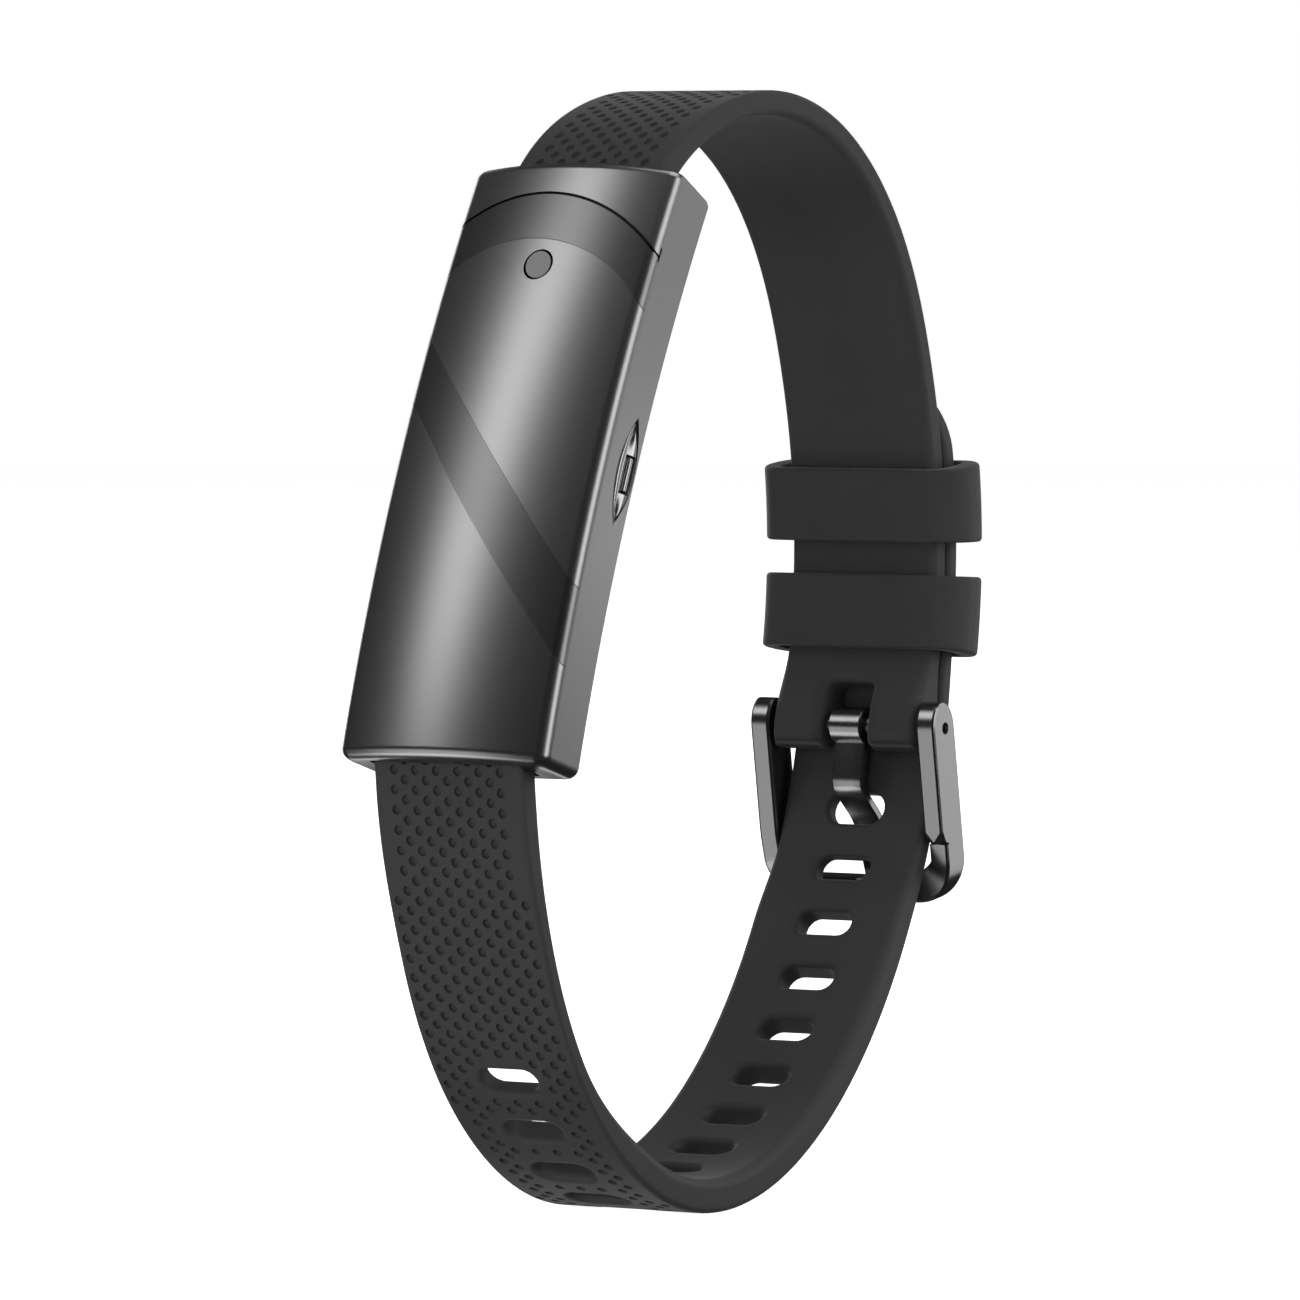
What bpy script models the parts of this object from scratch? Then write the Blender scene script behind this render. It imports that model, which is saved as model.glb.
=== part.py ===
"""Fitness tracker band: a slim curved tracker module on a two-part silicone strap with a pin buckle.

Axes: X runs along the wrist (strap width), -Y is the module side, +Y the buckle side, +Z up.
The origin is the middle of the wrist loop. Lengths below are in millimetres and turned to metres by MM.
"""
from math import asin, cos, pi, radians, sin, sqrt

import bmesh
import bpy
import numpy as np
from mathutils import Matrix, Vector

MM = 0.001

# ---------------------------------------------------------------- driving dimensions (mm, degrees)
FIT = 0.2                       # clearance between neighbouring pieces

MODULE_LENGTH = 49.2            # along the curved front
MODULE_WIDTH = 18.85
MODULE_SIDE = 5.3               # depth of the flat side faces
MODULE_ARC = 192.0              # radius of the front, end to end
MODULE_FACE_Y = -24.79          # middle of the front edge line
MODULE_FACE_Z = 14.99
MODULE_LEAN = radians(23.3)     # the top leans back toward the wrist
CROWN_ANGLE = radians(15.0)     # half angle of the crown across the front
FRONT_ROUND = 1.15              # front edge radius
END_ROUND = 0.9                 # radius round the two ends
BACK_BEVEL = 0.25

CAVITY_HALF_X = 6.3
CAVITY_HALF_U = 17.2
CAVITY_ROOF = 1.2               # depth of the cavity roof below the front edge line
LEDGE_HALF_X = 7.6
LEDGE_HALF_U = 20.5
LEDGE_DEPTH = 4.7
BACK_FLAT = 7.6                 # the flat that bears on the wrist, measured in from the front edge line

SCREW_U = 18.9
SCREW_X = 5.2
SCREW_RADIUS = 0.5
SCREW_HEAD = 0.9

KEEPER_CENTRE = (-21.55, 6.5)   # centre of the arc the back of the band follows
INNER_ARC = 50.0                # radius of the inner face of the upper strap there
UPPER_THICK = 2.0
LOWER_THICK = 1.5
LOWER_ARC = INNER_ARC + UPPER_THICK + 0.25
STRAP_WIDTH = 13.5
STRAP_EDGE = 0.45               # edge radius of the straps
STRAP_END_IN = 2.9              # how far each strap reaches into its pocket
STRAP_STEP = 2.6                # spacing of strap sections
LOWER_SWELL = 1.2               # extra thickness on the wrist side of the lower strap's free run
SWELL_RISE = (37.6, 46.0)       # from the tail tip: where the extra thickness comes in
SWELL_FALL = (90.0, 104.0)      # and where it fades out again

KEEPER_WIDTH = 19.0
KEEPER_WALL = 0.9
KEEPER_SIDE_WALL = 1.8
KEEPER_HEIGHT = 6.2
KEEPER_CORNER = 2.6
KEEPER_HOLE_CORNER = 1.0
KEEPER_BEVEL = 0.3
KEEPER_UPPER_AT = 3.8           # degrees up the arc
KEEPER_LOWER_AT = -6.1

PIN = (27.1, -8.0)              # spring-bar axis (Y, Z)
BARREL_RADIUS = 2.0
BARREL_BORE = 0.95
NOTCH_HALF = 2.1
NOTCH_TOP = -4.7
TUBE_RADIUS = 0.8
TUBE_BORE = 0.48
TUBE_HALF = 6.3
TIP_RADIUS = 0.4
TIP_INNER = 4.0
TIP_OUTER = 8.3

FRAME_LEAN = radians(9.0)       # the buckle frame leans out at its lower end
FRAME_INNER_HALF = 6.95
FRAME_ARM = 1.72
FRAME_REACH = 13.4              # pin to the middle of the outer bar
FRAME_CORNER = 2.7              # corner radius on the middle line
ARM_FRONT = -1.8                # arm depth either side of the pin
ARM_BACK = 1.5
BAR_FRONT = -0.5
BAR_BACK = 1.1
FRAME_CHAMFER = 0.38

TONGUE_WIDTH = 2.9
TONGUE_THICK = 0.7
# the tongue goes out through the slot in use and down over the bar
TONGUE_PATH = ((26.95, -9.1), (25.5, -14.5), (30.0, -15.3), (31.2, -21.6))
CURL_RADIUS = 1.5

SLOT_COUNT = 14
SLOT_FIRST = 35.5               # from the tail tip to the slot in use
SLOT_PITCH = 5.15
SLOT_LENGTH = 5.4
SLOT_HEIGHT = 2.2
SLOT_IN_USE_HEIGHT = 2.7        # the tongue pulls this one open

BUTTON_DEPTH = 3.7              # height of the button line on the side face
RECESS_HALF_LENGTH = 4.5
RECESS_HALF_WIDTH = 1.2
RECESS_FLOOR_X = 8.2
BUTTON_TRAVEL = 0.35
STEM_RADIUS = 0.45
SEAL_RADIUS = 0.8

WINDOW_RISE = 15.4              # status window, up the front from the middle
WINDOW_HOLE_RADIUS = 1.3
WINDOW_RADIUS = 1.12
SENSOR_HOLE_RADIUS = 4.2
SENSOR_RADIUS = 4.0
CONTACT_X = 2.6
CONTACT_RISE = -10.5
CONTACT_HOLE_RADIUS = 1.1
CONTACT_RADIUS = 0.9

STRAP_PIN_RADIUS = 0.5          # cross pins that hold the straps in the module
PIN_HALF = 8.1
PIN_HOLE_RADIUS = 0.65
PIN_BACK = 1.25                 # pin axis, in from the hidden end of the strap

SLIP = 0.1                      # radial clearance of small round pieces
SCREW_TIP_DEPTH = 2.9
HEAD_DEPTH = 6.5                # seat of the screw heads
THROUGH_BACK = 9.0              # depth that is clear of the module's back
BARREL_STRAIGHT = 0.6           # full-thickness stretch beside the spring bar


# ---------------------------------------------------------------- materials
def material(name, colour, roughness, metallic):
    made = bpy.data.materials.new(name)
    made.use_nodes = True
    shader = made.node_tree.nodes["Principled BSDF"]
    shader.inputs["Base Color"].default_value = (*colour, 1.0)
    shader.inputs["Roughness"].default_value = roughness
    shader.inputs["Metallic"].default_value = metallic
    made.diffuse_color = (*colour, 1.0)
    return made


# ---------------------------------------------------------------- mesh helpers
def mesh_from_rings(name, rings, closed=False):
    """Skin a list of rings with equal point counts; open lists are capped at both ends."""
    work = bmesh.new()
    rows = [[work.verts.new(Vector(point) * MM) for point in ring] for ring in rings]
    count = len(rows[0])
    pairs = list(zip(rows, rows[1:]))
    if closed:
        pairs.append((rows[-1], rows[0]))
    for low, high in pairs:
        for k in range(count):
            after = (k + 1) % count
            work.faces.new((low[k], low[after], high[after], high[k]))
    if not closed:
        work.faces.new(list(reversed(rows[0])))
        work.faces.new(rows[-1])
    bmesh.ops.recalc_face_normals(work, faces=work.faces)
    mesh = bpy.data.meshes.new(name)
    work.to_mesh(mesh)
    work.free()
    return mesh


def add_object(name, mesh):
    made = bpy.data.objects.new(name, mesh)
    bpy.context.scene.collection.objects.link(made)
    return made


def solid(name, rings, closed=False):
    return add_object(name, mesh_from_rings(name, rings, closed))


def combine(target, tools, operation):
    """Cut or join tools with the target and remove them."""
    for tool in tools:
        change = target.modifiers.new("change", "BOOLEAN")
        change.operation = operation
        change.solver = "EXACT"
        change.object = tool
        bpy.context.view_layer.update()
        graph = bpy.context.evaluated_depsgraph_get()
        mesh = bpy.data.meshes.new_from_object(target.evaluated_get(graph))
        target.modifiers.clear()
        target.data = mesh
        bpy.data.objects.remove(tool)
    return target


def finish(target, surface, origin=None):
    """Give the piece its material and, for a moving piece, its origin on the joint axis (mm)."""
    target.data.materials.clear()
    target.data.materials.append(surface)
    target.data.name = target.name
    if origin is not None:
        shift = Vector(origin) * MM
        target.data.transform(Matrix.Translation(-shift))
        target.location = shift
    return target


def rounded_outline(half_a, half_b, radius, steps):
    """Rounded rectangle as (a, b) pairs; steps points on each corner."""
    points = []
    for sign_a, sign_b, start in ((1, 1, 0), (-1, 1, 90), (-1, -1, 180), (1, -1, 270)):
        for k in range(steps):
            turn = radians(start + 90.0 * k / (steps - 1))
            a = sign_a * (half_a - radius) + radius * cos(turn)
            b = sign_b * (half_b - radius) + radius * sin(turn)
            points.append((a, b))
    return points


def x_cylinder(name, centre, radius, x_low, x_high, sides=16):
    """Cylinder along X; centre is (Y, Z)."""
    rings = []
    for x in (x_low, x_high):
        ring = []
        for k in range(sides):
            turn = 2 * pi * k / sides
            ring.append((x, centre[0] + radius * cos(turn), centre[1] + radius * sin(turn)))
        rings.append(ring)
    return solid(name, rings)


def tube(name, centre, outer, inner, x_low, x_high, sides=16):
    """Open tube along X; centre is (Y, Z)."""
    rings = []
    for radius, x in ((outer, x_low), (outer, x_high), (inner, x_high), (inner, x_low)):
        ring = []
        for k in range(sides):
            turn = 2 * pi * k / sides
            ring.append((x, centre[0] + radius * cos(turn), centre[1] + radius * sin(turn)))
        rings.append(ring)
    return solid(name, rings, closed=True)


# ---------------------------------------------------------------- the module's own coordinates
def flat_point(x, rise, inward):
    """Straight module axes: rise goes up the module, inward goes from the front to the wrist."""
    y = MODULE_FACE_Y + rise * sin(MODULE_LEAN) + inward * cos(MODULE_LEAN)
    z = MODULE_FACE_Z + rise * cos(MODULE_LEAN) - inward * sin(MODULE_LEAN)
    return (x, y, z)


def module_point(x, along, depth):
    """The same, bent to the arc of the front: along is arc length, depth is in from the front."""
    turn = along / MODULE_ARC
    radius = MODULE_ARC - depth
    return flat_point(x, radius * sin(turn), MODULE_ARC - radius * cos(turn))


def flat_place(y, z):
    """Rise and inward distance of a point given by its Y and Z."""
    dy = y - MODULE_FACE_Y
    dz = z - MODULE_FACE_Z
    return (dy * sin(MODULE_LEAN) + dz * cos(MODULE_LEAN), dy * cos(MODULE_LEAN) - dz * sin(MODULE_LEAN))


def module_place(y, z):
    """Arc length and depth of a point given by its Y and Z."""
    rise, inward = flat_place(y, z)
    radius = sqrt(rise ** 2 + (MODULE_ARC - inward) ** 2)
    return MODULE_ARC * asin(rise / radius), MODULE_ARC - radius


def end_stations(low, high, radius, spans, steps=4):
    """Stations from low to high with an inset that rounds off both ends."""
    stations = []
    if radius > 0:
        for k in range(steps):
            turn = 0.5 * pi * k / steps
            stations.append((low + radius * (1 - cos(turn)), radius * (1 - sin(turn))))
    for k in range(spans + 1):
        stations.append((low + radius + (high - low - 2 * radius) * k / spans, 0.0))
    if radius > 0:
        for k in reversed(range(steps)):
            turn = 0.5 * pi * k / steps
            stations.append((high - radius * (1 - cos(turn)), radius * (1 - sin(turn))))
    return stations


def bent_block(name, half_x, along, depth, corner=0.0, spans=8):
    """Block that follows the module's arc; corner rounds its four plan corners."""
    rings = []
    for u, inset in end_stations(along[0], along[1], corner, spans):
        a = half_x - inset
        rings.append([module_point(x, u, d) for x, d in
                      ((-a, depth[0]), (a, depth[0]), (a, depth[1]), (-a, depth[1]))])
    return solid(name, rings)


def flat_box(name, x_range, rise_range, inward_range):
    rings = []
    for rise in rise_range:
        low, high = inward_range
        rings.append([flat_point(x, rise, w) for x, w in
                      ((x_range[0], low), (x_range[1], low), (x_range[1], high), (x_range[0], high))])
    return solid(name, rings)


def inward_cylinder(name, x, rise, radii, depths, sides=16):
    """Round piece whose axis goes straight in from the front; one radius for each depth."""
    rings = []
    for radius, depth in zip(radii, depths):
        ring = []
        for k in range(sides):
            turn = 2 * pi * k / sides
            ring.append(flat_point(x + radius * cos(turn), rise + radius * sin(turn), depth))
        rings.append(ring)
    return solid(name, rings)


def side_prism(name, outline, x_low, x_high):
    """Prism along X from an outline in the module's (along, depth) coordinates."""
    return solid(name, [[module_point(x, u, d) for u, d in outline] for x in (x_low, x_high)])


def lens_outline(half_length, half_width, points=9):
    """Two equal arcs meeting at the tips."""
    radius = (half_length ** 2 + half_width ** 2) / (2 * half_width)
    sweep = asin(half_length / radius)
    outline = []
    for side in (1, -1):
        for k in range(points - 1):
            turn = sweep * (1 - 2 * k / (points - 1)) * side
            spread = radius * cos(turn) - radius + half_width
            outline.append((radius * sin(turn), BUTTON_DEPTH + side * spread))
    return outline


# ---------------------------------------------------------------- strap curves
class Curve:
    """Curve in the YZ plane whose curvature changes steadily between stations."""

    def __init__(self, start, heading, stations, curvatures, length):
        self.length = length
        count = int(length * 10) + 1
        self.s = np.linspace(0.0, length, count)
        bend = np.interp(self.s, stations, curvatures)
        step = self.s[1] - self.s[0]
        turn = np.concatenate([[0.0], np.cumsum((bend[1:] + bend[:-1]) / 2 * step)])
        self.heading = heading + turn
        dy = np.cos(self.heading)
        dz = np.sin(self.heading)
        self.y = start[0] + np.concatenate([[0.0], np.cumsum((dy[1:] + dy[:-1]) / 2 * step)])
        self.z = start[1] + np.concatenate([[0.0], np.cumsum((dz[1:] + dz[:-1]) / 2 * step)])

    def at(self, s):
        """Y, Z and heading at length s; beyond the ends the curve goes straight on."""
        inside = min(max(s, 0.0), self.length)
        y = float(np.interp(inside, self.s, self.y))
        z = float(np.interp(inside, self.s, self.z))
        heading = float(np.interp(inside, self.s, self.heading))
        extra = s - inside
        return y + extra * cos(heading), z + extra * sin(heading), heading


def arc_point(radius, angle):
    return (KEEPER_CENTRE[0] + radius * cos(angle), KEEPER_CENTRE[1] + radius * sin(angle))


UPPER_ARC_LOW = radians(-10.0)
UPPER_ARC_HIGH = radians(15.0)
UPPER_ARC_LENGTH = INNER_ARC * (UPPER_ARC_HIGH - UPPER_ARC_LOW)
UPPER_TOP_LENGTH = 49.65


def upper_curve():
    """Inner face of the upper strap, from the flare above the buckle over the top to the module."""
    stations = [0.0, UPPER_ARC_LENGTH - 2.0, UPPER_ARC_LENGTH + 1.0]
    curvatures = [1 / INNER_ARC, 1 / INNER_ARC, 0.0136]
    for k, bend in enumerate((0.0314, 0.0426, 0.0499, 0.0488, 0.0426, 0.0591, 0.0785)):
        stations.append(UPPER_ARC_LENGTH + 8.0 * (k + 1))
        curvatures.append(bend)
    return Curve(arc_point(INNER_ARC, UPPER_ARC_LOW), pi / 2 + UPPER_ARC_LOW, stations, curvatures,
                 UPPER_ARC_LENGTH + UPPER_TOP_LENGTH)


LOWER_TIP_ANGLE = radians(15.4)
LOWER_ARC_END = radians(-7.0)
LOWER_ARC_LENGTH = LOWER_ARC * (LOWER_TIP_ANGLE - LOWER_ARC_END)
LOWER_FREE_LENGTH = 105.96


def lower_curve():
    """Inner face of the lower strap, from the tail tip down the back and under to the module."""
    stations = [0.0, LOWER_ARC_LENGTH - 1.0]
    curvatures = [-1 / LOWER_ARC, -1 / LOWER_ARC]
    free = ((0.4, 0.0039), (7.0, -0.0184), (12.0, -0.0226), (18.0, -0.0157), (28.0, -0.0208), (40.0, -0.026),
            (52.0, -0.039), (64.0, -0.0531), (76.0, -0.0362), (88.0, -0.0264), (100.0, -0.0203),
            (106.0, -0.0031))
    for place, bend in free:
        stations.append(LOWER_ARC_LENGTH + place)
        curvatures.append(bend)
    return Curve(arc_point(LOWER_ARC, LOWER_TIP_ANGLE), LOWER_TIP_ANGLE - pi / 2, stations, curvatures,
                 LOWER_ARC_LENGTH + LOWER_FREE_LENGTH)


UPPER = upper_curve()
LOWER = lower_curve()


def outward(heading, side):
    """Unit normal away from the wrist; side is +1 for the lower strap's direction of travel."""
    return (-sin(heading) * side, cos(heading) * side)


def strap_ring(centre, heading, side, half_width, half_thick, edge):
    normal = outward(heading, side)
    ring = []
    for x, t in rounded_outline(half_width, half_thick, min(edge, half_thick * 0.9, half_width * 0.9), 3):
        ring.append((x, centre[0] + normal[0] * t, centre[1] + normal[1] * t))
    return ring


def smooth(value):
    value = min(max(value, 0.0), 1.0)
    return value * value * (3 - 2 * value)


def upper_thickness(s):
    """Slightly thicker where it enters the module."""
    return UPPER_THICK + 0.3 * smooth((s - UPPER.length + 12.0) / 12.0)


def lower_thickness(s):
    return LOWER_THICK + 0.9 * smooth((s - LOWER.length + 14.0) / 14.0)


def lower_swell(s):
    rise = smooth((s - SWELL_RISE[0]) / (SWELL_RISE[1] - SWELL_RISE[0]))
    fall = smooth((s - SWELL_FALL[0]) / (SWELL_FALL[1] - SWELL_FALL[0]))
    return LOWER_SWELL * rise * (1 - fall)


def middle(curve, s, thickness, side):
    """Point halfway through the strap at length s."""
    y, z, heading = curve.at(s)
    normal = outward(heading, side)
    return (y + normal[0] * thickness / 2, z + normal[1] * thickness / 2), heading


def upper_strap():
    """Flares to a barrel round the spring bar at one end and enters the module at the other."""
    rings = []
    top, top_heading = middle(UPPER, 0.0, UPPER_THICK, -1)
    reach = sqrt((top[0] - PIN[0]) ** 2 + (top[1] - PIN[1]) ** 2)
    barrel_heading = top_heading - radians(11.0)
    for k in range(5):
        turn = radians(82.0 - 82.0 * k / 5)
        offset = BARREL_RADIUS * sin(turn)
        centre = (PIN[0] - offset * cos(barrel_heading), PIN[1] - offset * sin(barrel_heading))
        rings.append(strap_ring(centre, barrel_heading, -1, STRAP_WIDTH / 2, BARREL_RADIUS * cos(turn),
                                STRAP_EDGE))
    for k in range(5):
        part = k / 5
        centre = tuple(PIN[i] + (top[i] - PIN[i]) * part for i in (0, 1))
        heading = barrel_heading + (top_heading - barrel_heading) * part
        taper = smooth((part * reach - BARREL_STRAIGHT) / (reach - BARREL_STRAIGHT))
        half = BARREL_RADIUS + (UPPER_THICK / 2 - BARREL_RADIUS) * taper
        rings.append(strap_ring(centre, heading, -1, STRAP_WIDTH / 2, half, STRAP_EDGE))
    total = UPPER.length + STRAP_END_IN
    count = int(total / STRAP_STEP)
    for k in range(count + 1):
        s = total * k / count
        thick = upper_thickness(s)
        centre, heading = middle(UPPER, s, thick, -1)
        rings.append(strap_ring(centre, heading, -1, STRAP_WIDTH / 2, thick / 2, STRAP_EDGE))
    strap = solid("upper_strap", rings)
    bore = x_cylinder("bore", PIN, BARREL_BORE, -10, 10)
    notch_low = PIN[1] - 3
    notch = solid("notch", [[(x, PIN[0] - 4, z), (x, PIN[0] + 5, z), (x, PIN[0] + 5, w), (x, PIN[0] - 4, w)]
                            for x, z, w in ((-NOTCH_HALF, notch_low, NOTCH_TOP),
                                            (NOTCH_HALF, notch_low, NOTCH_TOP))])
    combine(strap, [bore, notch, pin_hole(UPPER, upper_thickness, -1)], "DIFFERENCE")
    return strap


def pin_place(curve, thickness, side):
    """Where the cross pin passes through a strap's end, as (Y, Z)."""
    s = curve.length + STRAP_END_IN - PIN_BACK
    return middle(curve, s, thickness(s), side)[0]


def pin_hole(curve, thickness, side):
    return x_cylinder("pin_hole", pin_place(curve, thickness, side), PIN_HOLE_RADIUS, -9, 9, 12)


def slot_cutter(s, height):
    """Stadium-shaped cutter square to the lower strap at length s."""
    y, z, heading = LOWER.at(s)
    normal = outward(heading, 1)
    radius = height / 2
    outline = []
    for sign in (1, -1):
        for k in range(6):
            turn = radians(-90 + 180 * k / 5)
            x = SLOT_LENGTH / 2 - radius + radius * cos(turn)
            outline.append((sign * x, sign * radius * sin(turn)))
    rings = []
    for t in (-LOWER_SWELL - 0.8, LOWER_THICK + 2.5):
        rings.append([(x, y + normal[0] * t + a * cos(heading), z + normal[1] * t + a * sin(heading))
                      for x, a in outline])
    return solid("slot", rings)


def lower_strap():
    """Rounded tail tip, adjustment slots, and an end that enters the module."""
    rings = []
    half_end = STRAP_WIDTH / 2
    steps = 6
    for k in range(steps):
        turn = 0.5 * pi * (k + 0.35) / (steps + 0.35)
        s = half_end * (1 - cos(turn))
        centre, heading = middle(LOWER, s, LOWER_THICK, 1)
        rings.append(strap_ring(centre, heading, 1, half_end * sin(turn), LOWER_THICK / 2, STRAP_EDGE))
    total = LOWER.length + STRAP_END_IN
    count = int((total - half_end) / STRAP_STEP)
    for k in range(count + 1):
        s = half_end + (total - half_end) * k / count
        thick = lower_thickness(s)
        swell = lower_swell(s)
        centre, heading = middle(LOWER, s, thick - swell, 1)
        rings.append(strap_ring(centre, heading, 1, half_end, (thick + swell) / 2, STRAP_EDGE))
    strap = solid("lower_strap", rings)
    cutters = [slot_cutter(SLOT_FIRST, SLOT_IN_USE_HEIGHT)]
    cutters += [slot_cutter(SLOT_FIRST + SLOT_PITCH * k, SLOT_HEIGHT) for k in range(1, SLOT_COUNT)]
    cutters.append(pin_hole(LOWER, lower_thickness, 1))
    combine(strap, cutters, "DIFFERENCE")
    return strap


# ---------------------------------------------------------------- module shell
def housing_section(inset):
    """Crowned front, rounded front edges, flat sides; (x, depth) pairs."""
    half = MODULE_WIDTH / 2 - inset
    centre_x = half - FRONT_ROUND
    edge_x = centre_x + FRONT_ROUND * sin(CROWN_ANGLE)
    edge_depth = FRONT_ROUND * (1 - cos(CROWN_ANGLE)) + inset
    crown = edge_x / sin(CROWN_ANGLE)
    points = []
    for k in range(9):
        turn = CROWN_ANGLE * (k / 4 - 1)
        points.append((crown * sin(turn), edge_depth - crown * (cos(turn) - cos(CROWN_ANGLE))))
    right = []
    for k in range(1, 5):
        turn = CROWN_ANGLE + (pi / 2 - CROWN_ANGLE) * k / 4
        right.append((centre_x + FRONT_ROUND * sin(turn), FRONT_ROUND * (1 - cos(turn)) + inset))
    base = MODULE_SIDE - 0.3 * inset
    right.append((half, base - BACK_BEVEL))
    right.append((half - BACK_BEVEL, base))
    left = [(-x, d) for x, d in reversed(right)]
    return points + right + left


def pocket_cutter(curve, thickness, side, sign):
    """Pocket in the module end with clearance all round the strap end inside it."""
    depths = []
    for k in range(5):
        s = curve.length + STRAP_END_IN * k / 4
        y, z, heading = curve.at(s)
        normal = outward(heading, side)
        for t in (0.0, thickness(s)):
            depths.append(module_place(y + normal[0] * t, z + normal[1] * t)[1])
    deep = MODULE_LENGTH / 2 - STRAP_END_IN - 2 * FIT
    low = min(depths) - FIT
    high = max(depths) + FIT
    half_x = STRAP_WIDTH / 2 + FIT
    along = sorted((sign * min(deep, MODULE_LENGTH / 2 - 3.0), sign * (MODULE_LENGTH / 2 + 1.0)))
    rings = []
    for u in along:
        ring = []
        for x, t in rounded_outline(half_x, (high - low) / 2, 0.5, 3):
            ring.append(module_point(x, u, (high + low) / 2 + t))
        rings.append(ring)
    return solid("pocket", rings)


def housing():
    rings = []
    for u, inset in end_stations(-MODULE_LENGTH / 2, MODULE_LENGTH / 2, END_ROUND, 12):
        rings.append([module_point(x, u, d) for x, d in housing_section(inset)])
    shell = solid("housing", rings)
    recess = lens_outline(RECESS_HALF_LENGTH, RECESS_HALF_WIDTH)
    cavity_u = (-CAVITY_HALF_U, CAVITY_HALF_U)
    ledge_u = (-LEDGE_HALF_U, LEDGE_HALF_U)
    cutters = [bent_block("cavity", CAVITY_HALF_X, cavity_u, (CAVITY_ROOF, THROUGH_BACK), 1.0),
               bent_block("ledge", LEDGE_HALF_X, ledge_u, (LEDGE_DEPTH, THROUGH_BACK), 1.5),
               pocket_cutter(UPPER, upper_thickness, -1, 1),
               pocket_cutter(LOWER, lower_thickness, 1, -1),
               inward_cylinder("window_hole", 0.0, WINDOW_RISE, (WINDOW_HOLE_RADIUS,) * 2, (-4.0, 3.0)),
               side_prism("recess", recess, RECESS_FLOOR_X, 11.0),
               x_cylinder("stem_hole", button_axis(), STEM_RADIUS + SLIP, 5.5, 9.0, 12),
               x_cylinder("seal_seat", button_axis(), SEAL_RADIUS + SLIP, 5.5, CAVITY_HALF_X + 1.0, 12)]
    for curve, thickness, side in ((UPPER, upper_thickness, -1), (LOWER, lower_thickness, 1)):
        seat_half = PIN_HALF + 0.3
        cutters.append(x_cylinder("pin_seat", pin_place(curve, thickness, side), PIN_HOLE_RADIUS,
                                  -seat_half, seat_half, 12))
    for x, rise in screw_places():
        cutters.append(inward_cylinder("screw_hole", x, rise, (SCREW_RADIUS + SLIP,) * 2,
                                       (SCREW_TIP_DEPTH - 0.3, THROUGH_BACK), 10))
    combine(shell, cutters, "DIFFERENCE")
    return shell


def button_axis():
    """Y and Z of the button's line of travel."""
    point = module_point(0.0, 0.0, BUTTON_DEPTH)
    return (point[1], point[2])


def screw_places():
    return [(x * SCREW_X, rise * SCREW_U) for x in (-1, 1) for rise in (-1, 1)]


def back_cover():
    """Closes the module; its outer face is one flat that bears on the wrist."""
    half_x = LEDGE_HALF_X - FIT
    half_u = LEDGE_HALF_U - FIT
    rings = []
    for u, inset in end_stations(-half_u, half_u, 1.4, 10):
        rise, _ = flat_place(*module_point(0.0, u, LEDGE_DEPTH)[1:])
        _, inner = flat_place(*module_point(0.0, u, LEDGE_DEPTH + 0.6)[1:])
        outer = BACK_FLAT - 0.5 * smooth((abs(u) - 16.5) / 3.7)
        chamfer = min(0.8, (outer - inner) / 2)
        a = half_x - inset
        rings.append([flat_point(x, rise, w) for x, w in
                      ((-a, inner), (a, inner), (a, outer - chamfer), (a - chamfer, outer),
                       (chamfer - a, outer), (-a, outer - chamfer))])
    cover = solid("back_cover", rings)
    through = (3.0, 10.0)
    cutters = [flat_box("hollow", (-6.0, 6.0), (-16.6, 16.6), (3.0, BACK_FLAT - 0.7)),
               inward_cylinder("sensor_hole", 0.0, 0.0, (SENSOR_HOLE_RADIUS,) * 2, through, 28)]
    for x in (-CONTACT_X, CONTACT_X):
        radii = (CONTACT_HOLE_RADIUS,) * 2
        cutters.append(inward_cylinder("contact_hole", x, CONTACT_RISE, radii, through, 16))
    for x, rise in screw_places():
        cutters.append(inward_cylinder("screw_way", x, rise, (SCREW_RADIUS + SLIP,) * 2, through, 10))
        cutters.append(inward_cylinder("head_seat", x, rise, (SCREW_HEAD + 0.15,) * 2,
                                       (HEAD_DEPTH - SLIP, through[1]), 14))
    combine(cover, cutters, "DIFFERENCE")
    return cover


# ---------------------------------------------------------------- pieces inside and on the back
def gasket():
    """Rectangular ring between the housing ledge and the back cover."""
    outer = []
    inner = []
    rings = []
    depth_low = LEDGE_DEPTH + 0.1
    depth_high = LEDGE_DEPTH + 0.4
    spans = 8
    plan_out = (6.95, CAVITY_HALF_U + 0.65)
    plan_in = (6.45, CAVITY_HALF_U + 0.15)
    for half_x, half_u, store in ((*plan_out, outer), (*plan_in, inner)):
        for sign in (1, -1):
            for k in range(spans + 1):
                u = half_u * (2 * k / spans - 1) * sign
                store.append((half_x * sign, u))
    for store, depth in ((outer, depth_low), (outer, depth_high), (inner, depth_high), (inner, depth_low)):
        rings.append([module_point(x, u, depth) for x, u in store])
    return solid("back_gasket", rings, closed=True)


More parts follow.
